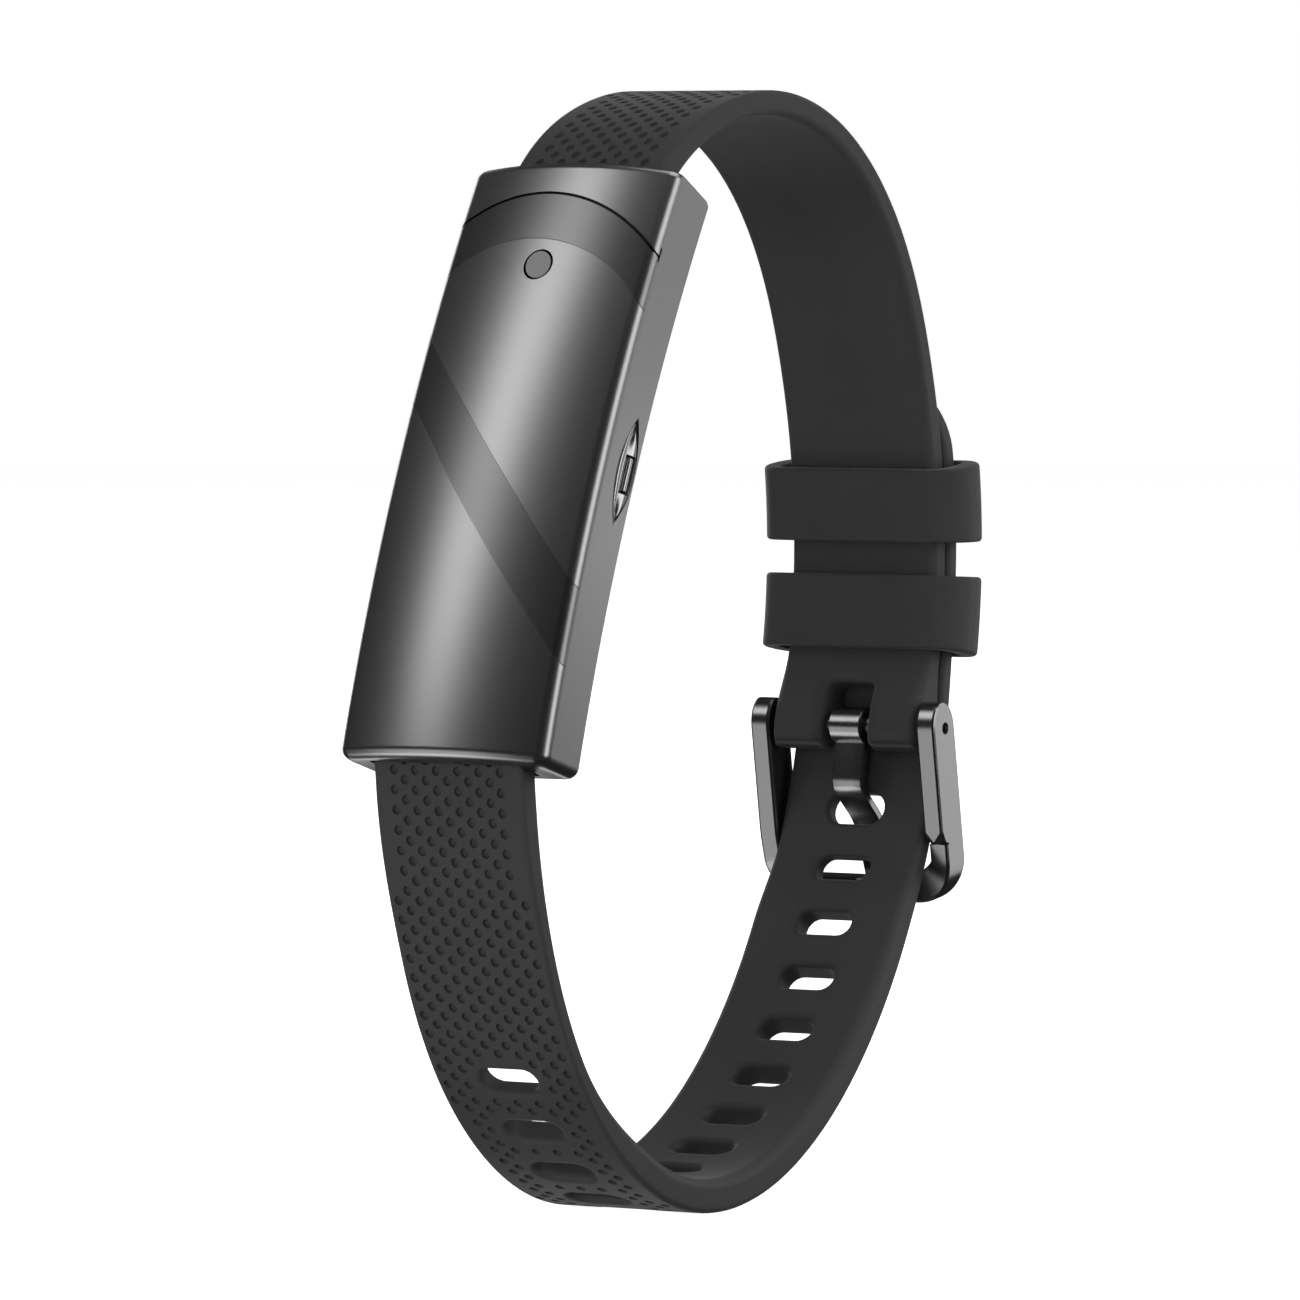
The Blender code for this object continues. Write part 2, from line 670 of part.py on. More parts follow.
def button_cap():
    """Lens-shaped cap with a raised centre and the stem that reaches the switch."""
    rings = []
    for x, shrink in ((RECESS_FLOOR_X + BUTTON_TRAVEL + 0.15, 0.2), (9.05, 0.2), (9.3, 0.45)):
        outline = lens_outline(RECESS_HALF_LENGTH - 0.9, RECESS_HALF_WIDTH - shrink)
        rings.append([module_point(x, u, d) for u, d in outline])
    cap = solid("button_cap", rings)
    centre = [(u * 1.5, BUTTON_DEPTH + d * 0.55) for u, d in ((-1, -1), (1, -1), (1, 1), (-1, 1))]
    combine(cap, [side_prism("raised", centre, 9.0, 9.45),
                  x_cylinder("stem", button_axis(), STEM_RADIUS, 6.0, 9.0, 12)], "UNION")
    return cap


def button_seal():
    """Rubber ring round the stem in the wall of the cavity."""
    return tube("button_seal", button_axis(), SEAL_RADIUS, STEM_RADIUS + 0.05, 6.4, 7.15)


def tact_switch():
    body = flat_box("tact_switch", (2.9, 5.4), (-1.6, 1.6), (3.35, 5.0))
    y, z = button_axis()
    combine(body, [x_cylinder("plunger_hole", (y, z), 0.62, 4.7, 6.0, 12)], "DIFFERENCE")
    return body


def screw(name, x, rise):
    """Cross-head screw seated in the back cover."""
    piece = inward_cylinder(name, x, rise, (SCREW_RADIUS, SCREW_RADIUS, SCREW_HEAD, SCREW_HEAD),
                            (SCREW_TIP_DEPTH, HEAD_DEPTH, HEAD_DEPTH, HEAD_DEPTH + 0.45), 12)
    blades = []
    for a, b in ((0.55, 0.13), (0.13, 0.55)):
        blades.append(flat_box("blade", (x - a, x + a), (rise - b, rise + b), (6.7, 8.0)))
    combine(piece, blades, "DIFFERENCE")
    return piece


def sensor_board():
    """Small board with two emitters and a detector standing toward the window."""
    board = flat_box("sensor_board", (-4.6, 4.6), (-3.9, 3.9), (5.6, 6.1))
    chips = [flat_box("chip", (-0.9, 0.9), (-0.9, 0.9), (6.0, 6.5))]
    for sign in (-1, 1):
        chips.append(flat_box("chip", (-0.6, 0.6), (sign * 2.4 - 0.5, sign * 2.4 + 0.5), (6.0, 6.4)))
    combine(board, chips, "UNION")
    return board


def build_module(looks):
    finish(housing(), looks["gunmetal"])
    finish(back_cover(), looks["case_plastic"])
    finish(gasket(), looks["seal"])
    finish(inward_cylinder("status_window", 0.0, WINDOW_RISE, (WINDOW_RADIUS,) * 2, (-0.45, 1.6), 20),
           looks["lens"])
    finish(flat_box("status_light", (-0.8, 0.8), (WINDOW_RISE - 0.6, WINDOW_RISE + 0.6), (1.95, 2.35)),
           looks["light"])
    finish(flat_box("main_board", (-5.9, 5.9), (-16.8, 16.4), (2.55, 3.15)), looks["board"])
    finish(flat_box("processor", (-4.6, 0.4), (3.2, 8.2), (3.25, 4.2)), looks["chip"])
    finish(flat_box("motion_sensor", (1.6, 3.9), (5.0, 7.3), (3.25, 3.9)), looks["chip"])
    finish(flat_box("battery", (-5.6, 5.6), (-16.3, -4.4), (3.4, 6.3)), looks["battery"])
    finish(inward_cylinder("vibration_motor", 0.0, 12.4, (3.5, 3.5), (3.3, 5.9), 24), looks["steel"])
    finish(tact_switch(), looks["chip"])
    finish(sensor_board(), looks["board"])
    radii = (SENSOR_RADIUS, SENSOR_RADIUS, SENSOR_RADIUS - 0.3)
    finish(inward_cylinder("sensor_window", 0.0, 0.0, radii, (6.7, 7.4, BACK_FLAT), 28), looks["lens"])
    radii = (CONTACT_RADIUS, CONTACT_RADIUS, CONTACT_RADIUS - 0.1)
    for word, sign in (("left", -1), ("right", 1)):
        contact = inward_cylinder("charge_contact_" + word, sign * CONTACT_X, CONTACT_RISE, radii,
                                  (6.55, 7.45, 7.55), 14)
        finish(contact, looks["contact"])
    words = ("lower_left", "upper_left", "lower_right", "upper_right")
    for word, (x, rise) in zip(words, screw_places()):
        finish(screw("back_screw_" + word, x, rise), looks["steel"])
    finish(button_seal(), looks["seal"])
    y, z = button_axis()
    origin = (RECESS_FLOOR_X, y, z)
    finish(button_cap(), looks["hardware"], origin)
    finish(x_cylinder("switch_plunger", (y, z), 0.45, 5.1, 5.85, 12), looks["seal"], origin)


# ---------------------------------------------------------------- keepers
def keeper(name, angle_at):
    """Rounded ring round both strap layers, bent to the arc it slides along; its end edges are bevelled."""
    low = INNER_ARC - FIT - KEEPER_WALL
    high = LOWER_ARC + LOWER_THICK + FIT + KEEPER_WALL
    centre = (low + high) / 2
    half_width = KEEPER_WIDTH / 2
    half_deep = (high - low) / 2
    hole_width = half_width - KEEPER_SIDE_WALL
    hole_deep = half_deep - KEEPER_WALL
    stations = end_stations(-KEEPER_HEIGHT / 2, KEEPER_HEIGHT / 2, KEEPER_BEVEL, 3, 2)

    def ring(along, half_a, half_b, corner):
        angle = radians(angle_at) + along / centre
        points = []
        for x, r in rounded_outline(half_a, half_b, corner, 6):
            points.append((x, *arc_point(centre + r, angle)))
        return points

    walls = []
    for along, inset in stations:
        walls.append(ring(along, half_width - inset, half_deep - inset, KEEPER_CORNER - inset))
    walls += [ring(along, hole_width, hole_deep, KEEPER_HOLE_CORNER) for along, _ in reversed(stations)]
    return solid(name, walls, closed=True)


# ---------------------------------------------------------------- buckle
def buckle_point(x, reach, out):
    """Buckle axes: reach runs down the arms from the pin, out points away from the wrist."""
    return (x, PIN[0] + reach * sin(FRAME_LEAN) + out * cos(FRAME_LEAN),
            PIN[1] - reach * cos(FRAME_LEAN) + out * sin(FRAME_LEAN))


def frame_ring(x, reach, lateral, half, front, back):
    """Chamfered section; lateral is the (x, reach) direction across the section."""
    c = min(FRAME_CHAMFER, (back - front) * 0.3)
    pairs = ((-half + c, front), (half - c, front), (half, front + c), (half, back - c),
             (half - c, back), (-half + c, back), (-half, back - c), (-half, front + c))
    return [buckle_point(x + lateral[0] * a, reach + lateral[1] * a, out) for a, out in pairs]


def buckle_frame():
    half = FRAME_ARM / 2
    arm_x = FRAME_INNER_HALF + half
    middle_out = (ARM_FRONT + ARM_BACK) / 2
    end_radius = (ARM_BACK - ARM_FRONT) / 2
    left = []
    for k in range(5):
        turn = radians(78 - 78 * k / 4)
        spread = end_radius * cos(turn)
        left.append((-arm_x, -end_radius * sin(turn), (1, 0), half, middle_out - spread, middle_out + spread))
    left.append((-arm_x, FRAME_REACH - FRAME_CORNER - 1.5, (1, 0), half, ARM_FRONT, ARM_BACK))
    for k in range(5):
        turn = 0.5 * pi * k / 4
        part = smooth(k / 4)
        x = -arm_x + FRAME_CORNER * (1 - cos(turn))
        reach = FRAME_REACH - FRAME_CORNER + FRAME_CORNER * sin(turn)
        front = ARM_FRONT + (BAR_FRONT - ARM_FRONT) * part
        back = ARM_BACK + (BAR_BACK - ARM_BACK) * part
        left.append((x, reach, (cos(turn), -sin(turn)), half + 0.12 * part, front, back))
    rings = [frame_ring(*station) for station in left]
    for x, reach, lateral, wide, front, back in reversed(left):
        rings.append(frame_ring(-x, reach, (-lateral[0], lateral[1]), wide, front, back))
    frame = solid("buckle_frame", rings)
    combine(frame, [x_cylinder("tip_hole", PIN, TIP_RADIUS + 0.09, -10, 10, 14)], "DIFFERENCE")
    return frame


def tongue_curve(t):
    """Point and direction on the tongue's middle line, from the curl to the tip."""
    p = TONGUE_PATH
    point = [(1 - t) ** 3 * p[0][i] + 3 * (1 - t) ** 2 * t * p[1][i] + 3 * (1 - t) * t * t * p[2][i]
             + t ** 3 * p[3][i] for i in (0, 1)]
    slope = [3 * (1 - t) ** 2 * (p[1][i] - p[0][i]) + 6 * (1 - t) * t * (p[2][i] - p[1][i])
             + 3 * t * t * (p[3][i] - p[2][i]) for i in (0, 1)]
    size = sqrt(slope[0] ** 2 + slope[1] ** 2)
    return point, (slope[0] / size, slope[1] / size)


def tongue():
    rings = []
    spans = 12
    for k in range(spans + 1):
        t = k / spans
        point, run = tongue_curve(t)
        normal = (run[1], -run[0])
        half_x = TONGUE_WIDTH / 2 * (1 - 0.12 * t)
        half_t = TONGUE_THICK / 2
        rings.append([(x, point[0] + normal[0] * a, point[1] + normal[1] * a) for x, a in
                      rounded_outline(half_x, half_t, 0.2, 2)])
    blade = solid("buckle_tongue", rings)
    combine(blade, [x_cylinder("curl", PIN, CURL_RADIUS, -TONGUE_WIDTH / 2, TONGUE_WIDTH / 2, 24)], "UNION")
    combine(blade, [x_cylinder("curl_bore", PIN, TUBE_RADIUS + 0.08, -3, 3, 18)], "DIFFERENCE")
    return blade


def spring_bar_spring():
    """Coil that pushes the two tips apart."""
    turns = 7
    per_turn = 10
    half = 2.3
    wire = 0.07
    coil = 0.36
    rings = []
    for k in range(turns * per_turn + 1):
        turn = 2 * pi * k / per_turn
        x = half * (2 * k / (turns * per_turn) - 1)
        ring = []
        for j in range(4):
            a = 2 * pi * j / 4
            radius = coil + wire * cos(a)
            ring.append((x + wire * sin(a), PIN[0] + radius * cos(turn), PIN[1] + radius * sin(turn)))
        rings.append(ring)
    return solid("spring_bar_spring", rings)


def build_strap_pieces(looks):
    finish(upper_strap(), looks["silicone"])
    finish(lower_strap(), looks["silicone"])
    for name, curve, thickness, side in (("upper_strap_pin", UPPER, upper_thickness, -1),
                                         ("lower_strap_pin", LOWER, lower_thickness, 1)):
        place = pin_place(curve, thickness, side)
        finish(x_cylinder(name, place, STRAP_PIN_RADIUS, -PIN_HALF, PIN_HALF, 12), looks["steel"])
    arc_centre = (0.0, *KEEPER_CENTRE)
    finish(keeper("keeper_upper", KEEPER_UPPER_AT), looks["silicone"], arc_centre)
    finish(keeper("keeper_lower", KEEPER_LOWER_AT), looks["silicone"], arc_centre)
    pin = (0.0, *PIN)
    finish(buckle_frame(), looks["hardware"], pin)
    finish(tongue(), looks["hardware"], pin)
    finish(tube("spring_bar_tube", PIN, TUBE_RADIUS, TUBE_BORE, -TUBE_HALF, TUBE_HALF), looks["steel"])
    finish(spring_bar_spring(), looks["steel"])
    for word, sign in (("left", -1), ("right", 1)):
        ends = sorted((sign * TIP_INNER, sign * TIP_OUTER))
        finish(x_cylinder("spring_bar_tip_" + word, PIN, TIP_RADIUS, *ends, 12), looks["steel"], pin)


# ---------------------------------------------------------------- build
def main():
    for item in list(bpy.data.objects):
        bpy.data.objects.remove(item)
    looks = {
        "gunmetal": material("gunmetal", (0.16, 0.16, 0.165), 0.28, 0.9),
        "hardware": material("hardware", (0.2, 0.2, 0.205), 0.25, 0.95),
        "silicone": material("silicone", (0.035, 0.035, 0.036), 0.6, 0.0),
        "case_plastic": material("case_plastic", (0.03, 0.03, 0.032), 0.4, 0.0),
        "seal": material("seal", (0.02, 0.02, 0.02), 0.7, 0.0),
        "lens": material("lens", (0.03, 0.03, 0.035), 0.08, 0.0),
        "light": material("light", (0.8, 0.8, 0.75), 0.4, 0.0),
        "board": material("board", (0.02, 0.08, 0.04), 0.5, 0.0),
        "chip": material("chip", (0.03, 0.03, 0.03), 0.5, 0.0),
        "battery": material("battery", (0.55, 0.56, 0.58), 0.4, 0.3),
        "contact": material("contact", (0.7, 0.52, 0.25), 0.3, 1.0),
        "steel": material("steel", (0.5, 0.5, 0.5), 0.3, 1.0),
    }
    build_module(looks)
    build_strap_pieces(looks)


main()
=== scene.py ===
"""Looks of the fitness tracker band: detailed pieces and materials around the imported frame.

Lengths are in millimetres in the CAD frame and turned to metres by MM. X runs across the strap,
-Y is the module side, +Y the buckle side and +Z is up.
"""

from math import asin, cos, pi, radians, sin, sqrt

import bmesh
import bpy
import numpy as np
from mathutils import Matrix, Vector, kdtree
from mathutils.geometry import delaunay_2d_cdt


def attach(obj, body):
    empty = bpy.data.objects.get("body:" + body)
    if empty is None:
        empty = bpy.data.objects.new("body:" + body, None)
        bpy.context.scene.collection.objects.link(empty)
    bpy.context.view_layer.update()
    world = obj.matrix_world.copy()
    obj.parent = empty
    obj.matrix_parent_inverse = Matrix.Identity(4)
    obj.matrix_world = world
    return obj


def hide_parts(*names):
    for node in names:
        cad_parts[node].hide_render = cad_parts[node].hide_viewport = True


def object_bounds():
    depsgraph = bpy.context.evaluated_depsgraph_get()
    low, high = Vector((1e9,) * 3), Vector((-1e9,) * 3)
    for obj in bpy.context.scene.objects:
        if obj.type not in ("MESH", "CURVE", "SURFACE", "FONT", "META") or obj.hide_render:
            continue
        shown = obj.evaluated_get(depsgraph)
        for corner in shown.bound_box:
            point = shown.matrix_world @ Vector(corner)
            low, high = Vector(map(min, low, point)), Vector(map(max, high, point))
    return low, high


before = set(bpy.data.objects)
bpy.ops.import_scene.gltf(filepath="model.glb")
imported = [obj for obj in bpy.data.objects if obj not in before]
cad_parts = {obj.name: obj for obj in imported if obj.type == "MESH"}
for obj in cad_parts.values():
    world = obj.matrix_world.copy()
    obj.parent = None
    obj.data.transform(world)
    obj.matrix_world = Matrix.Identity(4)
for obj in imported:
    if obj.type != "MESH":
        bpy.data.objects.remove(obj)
CAD_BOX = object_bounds()
MM = 0.001

# ---------------------------------------------------------------- module dimensions, as in the CAD
MODULE_LENGTH = 49.2
MODULE_WIDTH = 18.85
MODULE_SIDE = 5.3
MODULE_ARC = 192.0
MODULE_FACE = (-24.79, 14.99)
MODULE_LEAN = radians(23.3)
CROWN_ANGLE = radians(15.0)
FRONT_ROUND = 1.15
END_ROUND = 0.9
BACK_BEVEL = 0.3

# ---------------------------------------------------------------- strap dimensions, as in the CAD
KEEPER_CENTRE = (-21.55, 6.5)
INNER_ARC = 50.0
UPPER_THICK = 2.0
LOWER_THICK = 1.5
LOWER_SWELL = 1.2
LOWER_ARC = INNER_ARC + UPPER_THICK + 0.25
STRAP_WIDTH = 13.5
STRAP_END_IN = 2.9
PIN = (27.1, -8.0)
BARREL_RADIUS = 2.0
NOTCH_HALF = 2.1
NOTCH_TOP = -4.7
SLOT_COUNT = 14
SLOT_FIRST = 35.5
SLOT_PITCH = 5.15
SLOT_HALF_LENGTH = 2.55
SLOT_HALF_HEIGHT = 1.05
SLOT_IN_USE_HALF_HEIGHT = 1.3   # the tongue pulls this one open

# ---------------------------------------------------------------- surface detail
DIMPLE_MARGIN = 0.22            # least gap between a dimple and any rim
DIMPLE_PITCH_X = 1.93           # between neighbours in one row
DIMPLE_ROW = 0.775              # rows are staggered by half a pitch
DIMPLE_COLUMNS = 7
DIMPLE_SIDES = 12
# radius, depth and lean of the surface there, from the rim to the floor
DIMPLE_PROFILE = ((0.40, 0.0, 45.0), (0.37, 0.04, 75.0), (0.345, 0.20, 70.0), (0.27, 0.25, 20.0))
DIMPLE_DEPTH = 0.26
OUTER_ROUND = 0.3
INNER_ROUND = 0.56
SLOT_OUTER_ROUND = 0.42
SLOT_INNER_ROUND = 0.42
ROUND_GROWTH = 0.38             # how much the roundings grow with extra thickness
ROUND_STEPS = 5


# ---------------------------------------------------------------- mesh building
class Skin:
    """Collects points, faces and exact corner normals (a zero normal is worked out by Blender)."""

    def __init__(self):
        self.points = np.zeros((0, 3))
        self.faces = []
        self.normals = []
        self.slots = []

    def add(self, points):
        start = len(self.points)
        self.points = np.vstack([self.points, np.asarray(points, float).reshape(-1, 3)])
        return np.arange(start, len(self.points))

    def face(self, corners, normals=None, slot=0):
        self.faces.append([int(corner) for corner in corners])
        self.normals.append([(0.0, 0.0, 0.0)] * len(corners) if normals is None else normals)
        self.slots.append(slot)

    def rings(self, rows, normals=None, loop=True, slot=0):
        """Quads between rows of indices; normals is one array of vectors for each row."""
        count = len(rows[0])
        for j in range(len(rows) - 1):
            for k in range(count if loop else count - 1):
                after = (k + 1) % count
                corners = (rows[j][k], rows[j][after], rows[j + 1][after], rows[j + 1][k])
                given = None
                if normals is not None:
                    given = [normals[j][k], normals[j][after], normals[j + 1][after], normals[j + 1][k]]
                self.face(corners, given, slot)

    def oriented(self):
        """Faces and normals with every face wound so that it points the way its normals do."""
        faces = []
        normals = []
        for corners, given in zip(self.faces, self.normals):
            wanted = np.sum(given, axis=0)
            across = self.points[corners[2]] - self.points[corners[0]]
            along = self.points[corners[-1]] - self.points[corners[1]]
            if np.dot(np.cross(across, along), wanted) < 0:
                corners = corners[::-1]
                given = given[::-1]
            faces.append(corners)
            normals.append(given)
        return faces, normals

    def build(self, name, materials, body, slot_name, *nodes):
        mesh = bpy.data.meshes.new(name)
        faces, normals = self.oriented()
        mesh.from_pydata((self.points * MM).tolist(), [], faces)
        mesh.polygons.foreach_set("use_smooth", [True] * len(faces))
        mesh.polygons.foreach_set("material_index", self.slots)
        mesh.normals_split_custom_set([tuple(n) for face in normals for n in face])
        return add_piece(name, mesh, materials, body, slot_name, *nodes)


def add_piece(name, mesh, materials, body, slot_name, *nodes):
    made = bpy.data.objects.new(name, mesh)
    bpy.context.scene.collection.objects.link(made)
    for surface in materials:
        mesh.materials.append(surface)
    mesh.update()
    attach(made, body)
    if nodes:
        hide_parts(*nodes)
    return made


def unit(vectors):
    size = np.linalg.norm(vectors, axis=-1, keepdims=True)
    return vectors / np.maximum(size, 1e-12)


def smooth(value):
    value = np.clip(value, 0.0, 1.0)
    return value * value * (3 - 2 * value)


def inside_polygon(points, polygon):
    """Whether each (a, b) point lies inside the closed polygon."""
    result = np.zeros(len(points), bool)
    after = np.roll(polygon, -1, axis=0)
    for (a0, b0), (a1, b1) in zip(polygon, after):
        if b0 == b1:
            continue
        crosses = (b0 > points[:, 1]) != (b1 > points[:, 1])
        where = a0 + (points[:, 1] - b0) * (a1 - a0) / (b1 - b0)
        result ^= crosses & (points[:, 0] < where)
    return result


# ---------------------------------------------------------------- strap centre lines
def bend_curve(start, heading, stations, curvatures, length):
    """Samples (s, y, z, heading) of a curve whose curvature changes steadily between stations."""
    s = np.linspace(0.0, length, int(length * 10) + 1)
    bend = np.interp(s, stations, curvatures)
    step = s[1] - s[0]
    turn = heading + np.concatenate([[0.0], np.cumsum((bend[1:] + bend[:-1]) / 2 * step)])
    run_y = np.cos(turn)
    run_z = np.sin(turn)
    y = start[0] + np.concatenate([[0.0], np.cumsum((run_y[1:] + run_y[:-1]) / 2 * step)])
    z = start[1] + np.concatenate([[0.0], np.cumsum((run_z[1:] + run_z[:-1]) / 2 * step)])
    extra = np.arange(1, 31) * STRAP_END_IN / 30
    s = np.concatenate([s, length + extra])
    y = np.concatenate([y, y[-1] + extra * cos(turn[-1])])
    z = np.concatenate([z, z[-1] + extra * sin(turn[-1])])
    turn = np.concatenate([turn, np.full(30, turn[-1])])
    return s, y, z, turn


def arc_point(radius, angle):
    return (KEEPER_CENTRE[0] + radius * cos(angle), KEEPER_CENTRE[1] + radius * sin(angle))


class Strap:
    """A strap in its own coordinates: x across, s along the middle line, t out from the inner face."""

    def __init__(self, s, y, z, normal_y, normal_z, thick):
        self.s = s
        self.rows = (y, z, normal_y, normal_z, thick)
        self.low = s[0]
        self.high = s[-1]

    def thick(self, s):
        return np.interp(s, self.s, self.rows[4])

    def place(self, x, s, t):
        y, z, ny, nz, thick = (np.interp(s, self.s, row) for row in self.rows)
        size = np.sqrt(ny * ny + nz * nz)
        out = t - thick / 2
        return np.stack([x + 0 * y, y + ny / size * out, z + nz / size * out], axis=-1)

    def along(self, s):
        """Unit direction of travel along the strap."""
        step = 0.1
        there = self.place(0 * s, s + step, self.thick(s) / 2)
        here = self.place(0 * s, s - step, self.thick(s) / 2)
        return unit(there - here)

    def face_normal(self, s, outer):
        """Exact normal of the outer or the inner face."""
        step = 0.1
        ends = []
        for place in (s - step, s + step):
            place = np.clip(place, self.low, self.high)
            ends.append(self.place(0 * s, place, self.thick(place) * outer))
        run = unit(ends[1] - ends[0])
        normal = np.stack([0 * s, -run[:, 2], run[:, 1]], axis=-1)
        _, _, ny, nz, _ = (np.interp(s, self.s, row) for row in self.rows)
        away = (normal[:, 1] * ny + normal[:, 2] * nz) * (1 if outer else -1)
        return normal * np.where(away < 0, -1.0, 1.0)[:, None]


UPPER_LOW = radians(-10.0)
UPPER_HIGH = radians(15.0)
UPPER_ARC = INNER_ARC * (UPPER_HIGH - UPPER_LOW)
UPPER_LENGTH = UPPER_ARC + 49.65
LOWER_TIP = radians(15.4)
LOWER_END = radians(-7.0)
LOWER_ARC_LENGTH = LOWER_ARC * (LOWER_TIP - LOWER_END)
LOWER_LENGTH = LOWER_ARC_LENGTH + 105.96


def lower_shape():
    stations = [0.0, LOWER_ARC_LENGTH - 1.0]
    bends = [-1 / LOWER_ARC, -1 / LOWER_ARC]
    for place, bend in ((0.4, 0.0039), (7.0, -0.0184), (12.0, -0.0226), (18.0, -0.0157), (28.0, -0.0208),
                        (40.0, -0.026), (52.0, -0.039), (64.0, -0.0531), (76.0, -0.0362), (88.0, -0.0264),
                        (100.0, -0.0203), (106.0, -0.0031)):
        stations.append(LOWER_ARC_LENGTH + place)
        bends.append(bend)
    start = arc_point(LOWER_ARC, LOWER_TIP)
    s, y, z, turn = bend_curve(start, LOWER_TIP - pi / 2, stations, bends, LOWER_LENGTH)
    swell = LOWER_SWELL * smooth((s - 37.6) / 8.4) * (1 - smooth((s - 90.0) / 14.0))
    thick = LOWER_THICK + 0.9 * smooth((s - LOWER_LENGTH + 14.0) / 14.0) + swell
    ny = -np.sin(turn)
    nz = np.cos(turn)
    out = thick / 2 - swell
    return Strap(s, y + ny * out, z + nz * out, ny, nz, thick)


def upper_shape():
    """Includes the flare and the barrel round the spring bar, at negative s."""
    stations = [0.0, UPPER_ARC - 2.0, UPPER_ARC + 1.0]
    bends = [1 / INNER_ARC, 1 / INNER_ARC, 0.0136]
    for k, bend in enumerate((0.0314, 0.0426, 0.0499, 0.0488, 0.0426, 0.0591, 0.0785)):
        stations.append(UPPER_ARC + 8.0 * (k + 1))
        bends.append(bend)
    start = arc_point(INNER_ARC, UPPER_LOW)
    s, y, z, turn = bend_curve(start, pi / 2 + UPPER_LOW, stations, bends, UPPER_LENGTH)
    thick = UPPER_THICK + 0.3 * smooth((s - UPPER_LENGTH + 12.0) / 12.0)
    ny = np.sin(turn)
    nz = -np.cos(turn)
    y = y + ny * thick / 2
    z = z + nz * thick / 2
    reach = sqrt((y[0] - PIN[0]) ** 2 + (z[0] - PIN[1]) ** 2)
    low_turn = turn[0] - radians(11.0)
    back = np.linspace(-reach - BARREL_RADIUS * sin(radians(80.0)), -0.05, 140)
    part = 1 + back / reach
    heading = np.where(part < 0, low_turn, low_turn + (turn[0] - low_turn) * part)
    back_y = np.where(part < 0, PIN[0] + part * reach * cos(low_turn), PIN[0] + (y[0] - PIN[0]) * part)
    back_z = np.where(part < 0, PIN[1] + part * reach * sin(low_turn), PIN[1] + (z[0] - PIN[1]) * part)
    flare = BARREL_RADIUS + (UPPER_THICK / 2 - BARREL_RADIUS) * smooth((part * reach - 0.6) / (reach - 0.6))
    barrel = np.sqrt(np.maximum(BARREL_RADIUS ** 2 - (part * reach) ** 2, 0.0))
    half = np.where(part < 0, barrel, flare)
    return Strap(np.concatenate([back, s]), np.concatenate([back_y, y]), np.concatenate([back_z, z]),
                 np.concatenate([np.sin(heading), ny]), np.concatenate([-np.cos(heading), nz]),
                 np.concatenate([2 * half, thick]))


# ---------------------------------------------------------------- strap outlines as (x, s)
def line(start, end, step):
    """Points from start up to, but not including, end."""
    start = np.array(start, float)
    end = np.array(end, float)
    count = max(1, int(round(np.linalg.norm(end - start) / step)))
    return [start + (end - start) * k / count for k in range(count)]


def turn_points(centre, radius, from_deg, to_deg, count):
    """Points round an arc, without its last one."""
    points = []
    for k in range(count):
        angle = radians(from_deg + (to_deg - from_deg) * k / count)
        points.append(np.array((centre[0] + radius * cos(angle), centre[1] + radius * sin(angle))))
    return points


def loop_normals(points):
    """Outward normals of a loop that runs anticlockwise in (x, s)."""
    before = np.roll(points, 1, axis=0)
    after = np.roll(points, -1, axis=0)
    run = unit(after - before)
    return np.stack([run[:, 1], -run[:, 0]], axis=-1)


def slot_loop(centre_s):
    """Clockwise, so that its normals point into the slot."""
    half = SLOT_IN_USE_HALF_HEIGHT if centre_s == SLOT_FIRST else SLOT_HALF_HEIGHT
    flat = SLOT_HALF_LENGTH - half
    points = turn_points((flat, centre_s), half, 90, -90, 10)
    points += line((flat, centre_s - half), (-flat, centre_s - half), 0.6)
    points += turn_points((-flat, centre_s), half, -90, -270, 10)
    points += line((-flat, centre_s + half), (flat, centre_s + half), 0.6)
    return np.array(points)


def wall_rings(skin, shape, loop, outer_round, inner_round):
    """Rows of points down a rounded wall from the outer face to the inner face, and their normals."""
    points = np.asarray(loop)
    normals = loop_normals(points)
    rows = []
    row_normals = []
    profile = [(1, 90.0 * (1 - k / ROUND_STEPS)) for k in range(ROUND_STEPS + 1)]
    profile += [(0, -90.0 * k / ROUND_STEPS) for k in range(ROUND_STEPS + 1)]
    for outer, degrees_up in profile:
        angle = radians(degrees_up)
        room = shape.thick(points[:, 1])
        radius = outer_round if outer else inner_round
        share = radius / (outer_round + inner_round)
        grown = radius + np.maximum(room - LOWER_THICK, 0.0) * ROUND_GROWTH * share
        radius = np.minimum(grown, room * share * 0.96)
        inset = radius * (1 - cos(angle))
        place = points - normals * inset[:, None]
        thick = shape.thick(place[:, 1])
        if outer:
            t = thick - radius * (1 - sin(angle))
        else:
            t = radius * (1 + sin(angle))
        rows.append((place, skin.add(shape.place(place[:, 0], place[:, 1], t))))
        along = shape.along(place[:, 1])
        across = np.zeros_like(along)
        across[:, 0] = 1.0
        side = across * normals[:, :1] + along * normals[:, 1:]
        face = shape.face_normal(place[:, 1], degrees_up >= 0)
        if degrees_up < 0 or not outer:
            face = -shape.face_normal(place[:, 1], False)
        row_normals.append(unit(side * cos(angle) + face * sin(angle)))
    skin.rings([index for _, index in rows], row_normals)
    return rows[0], rows[-1]


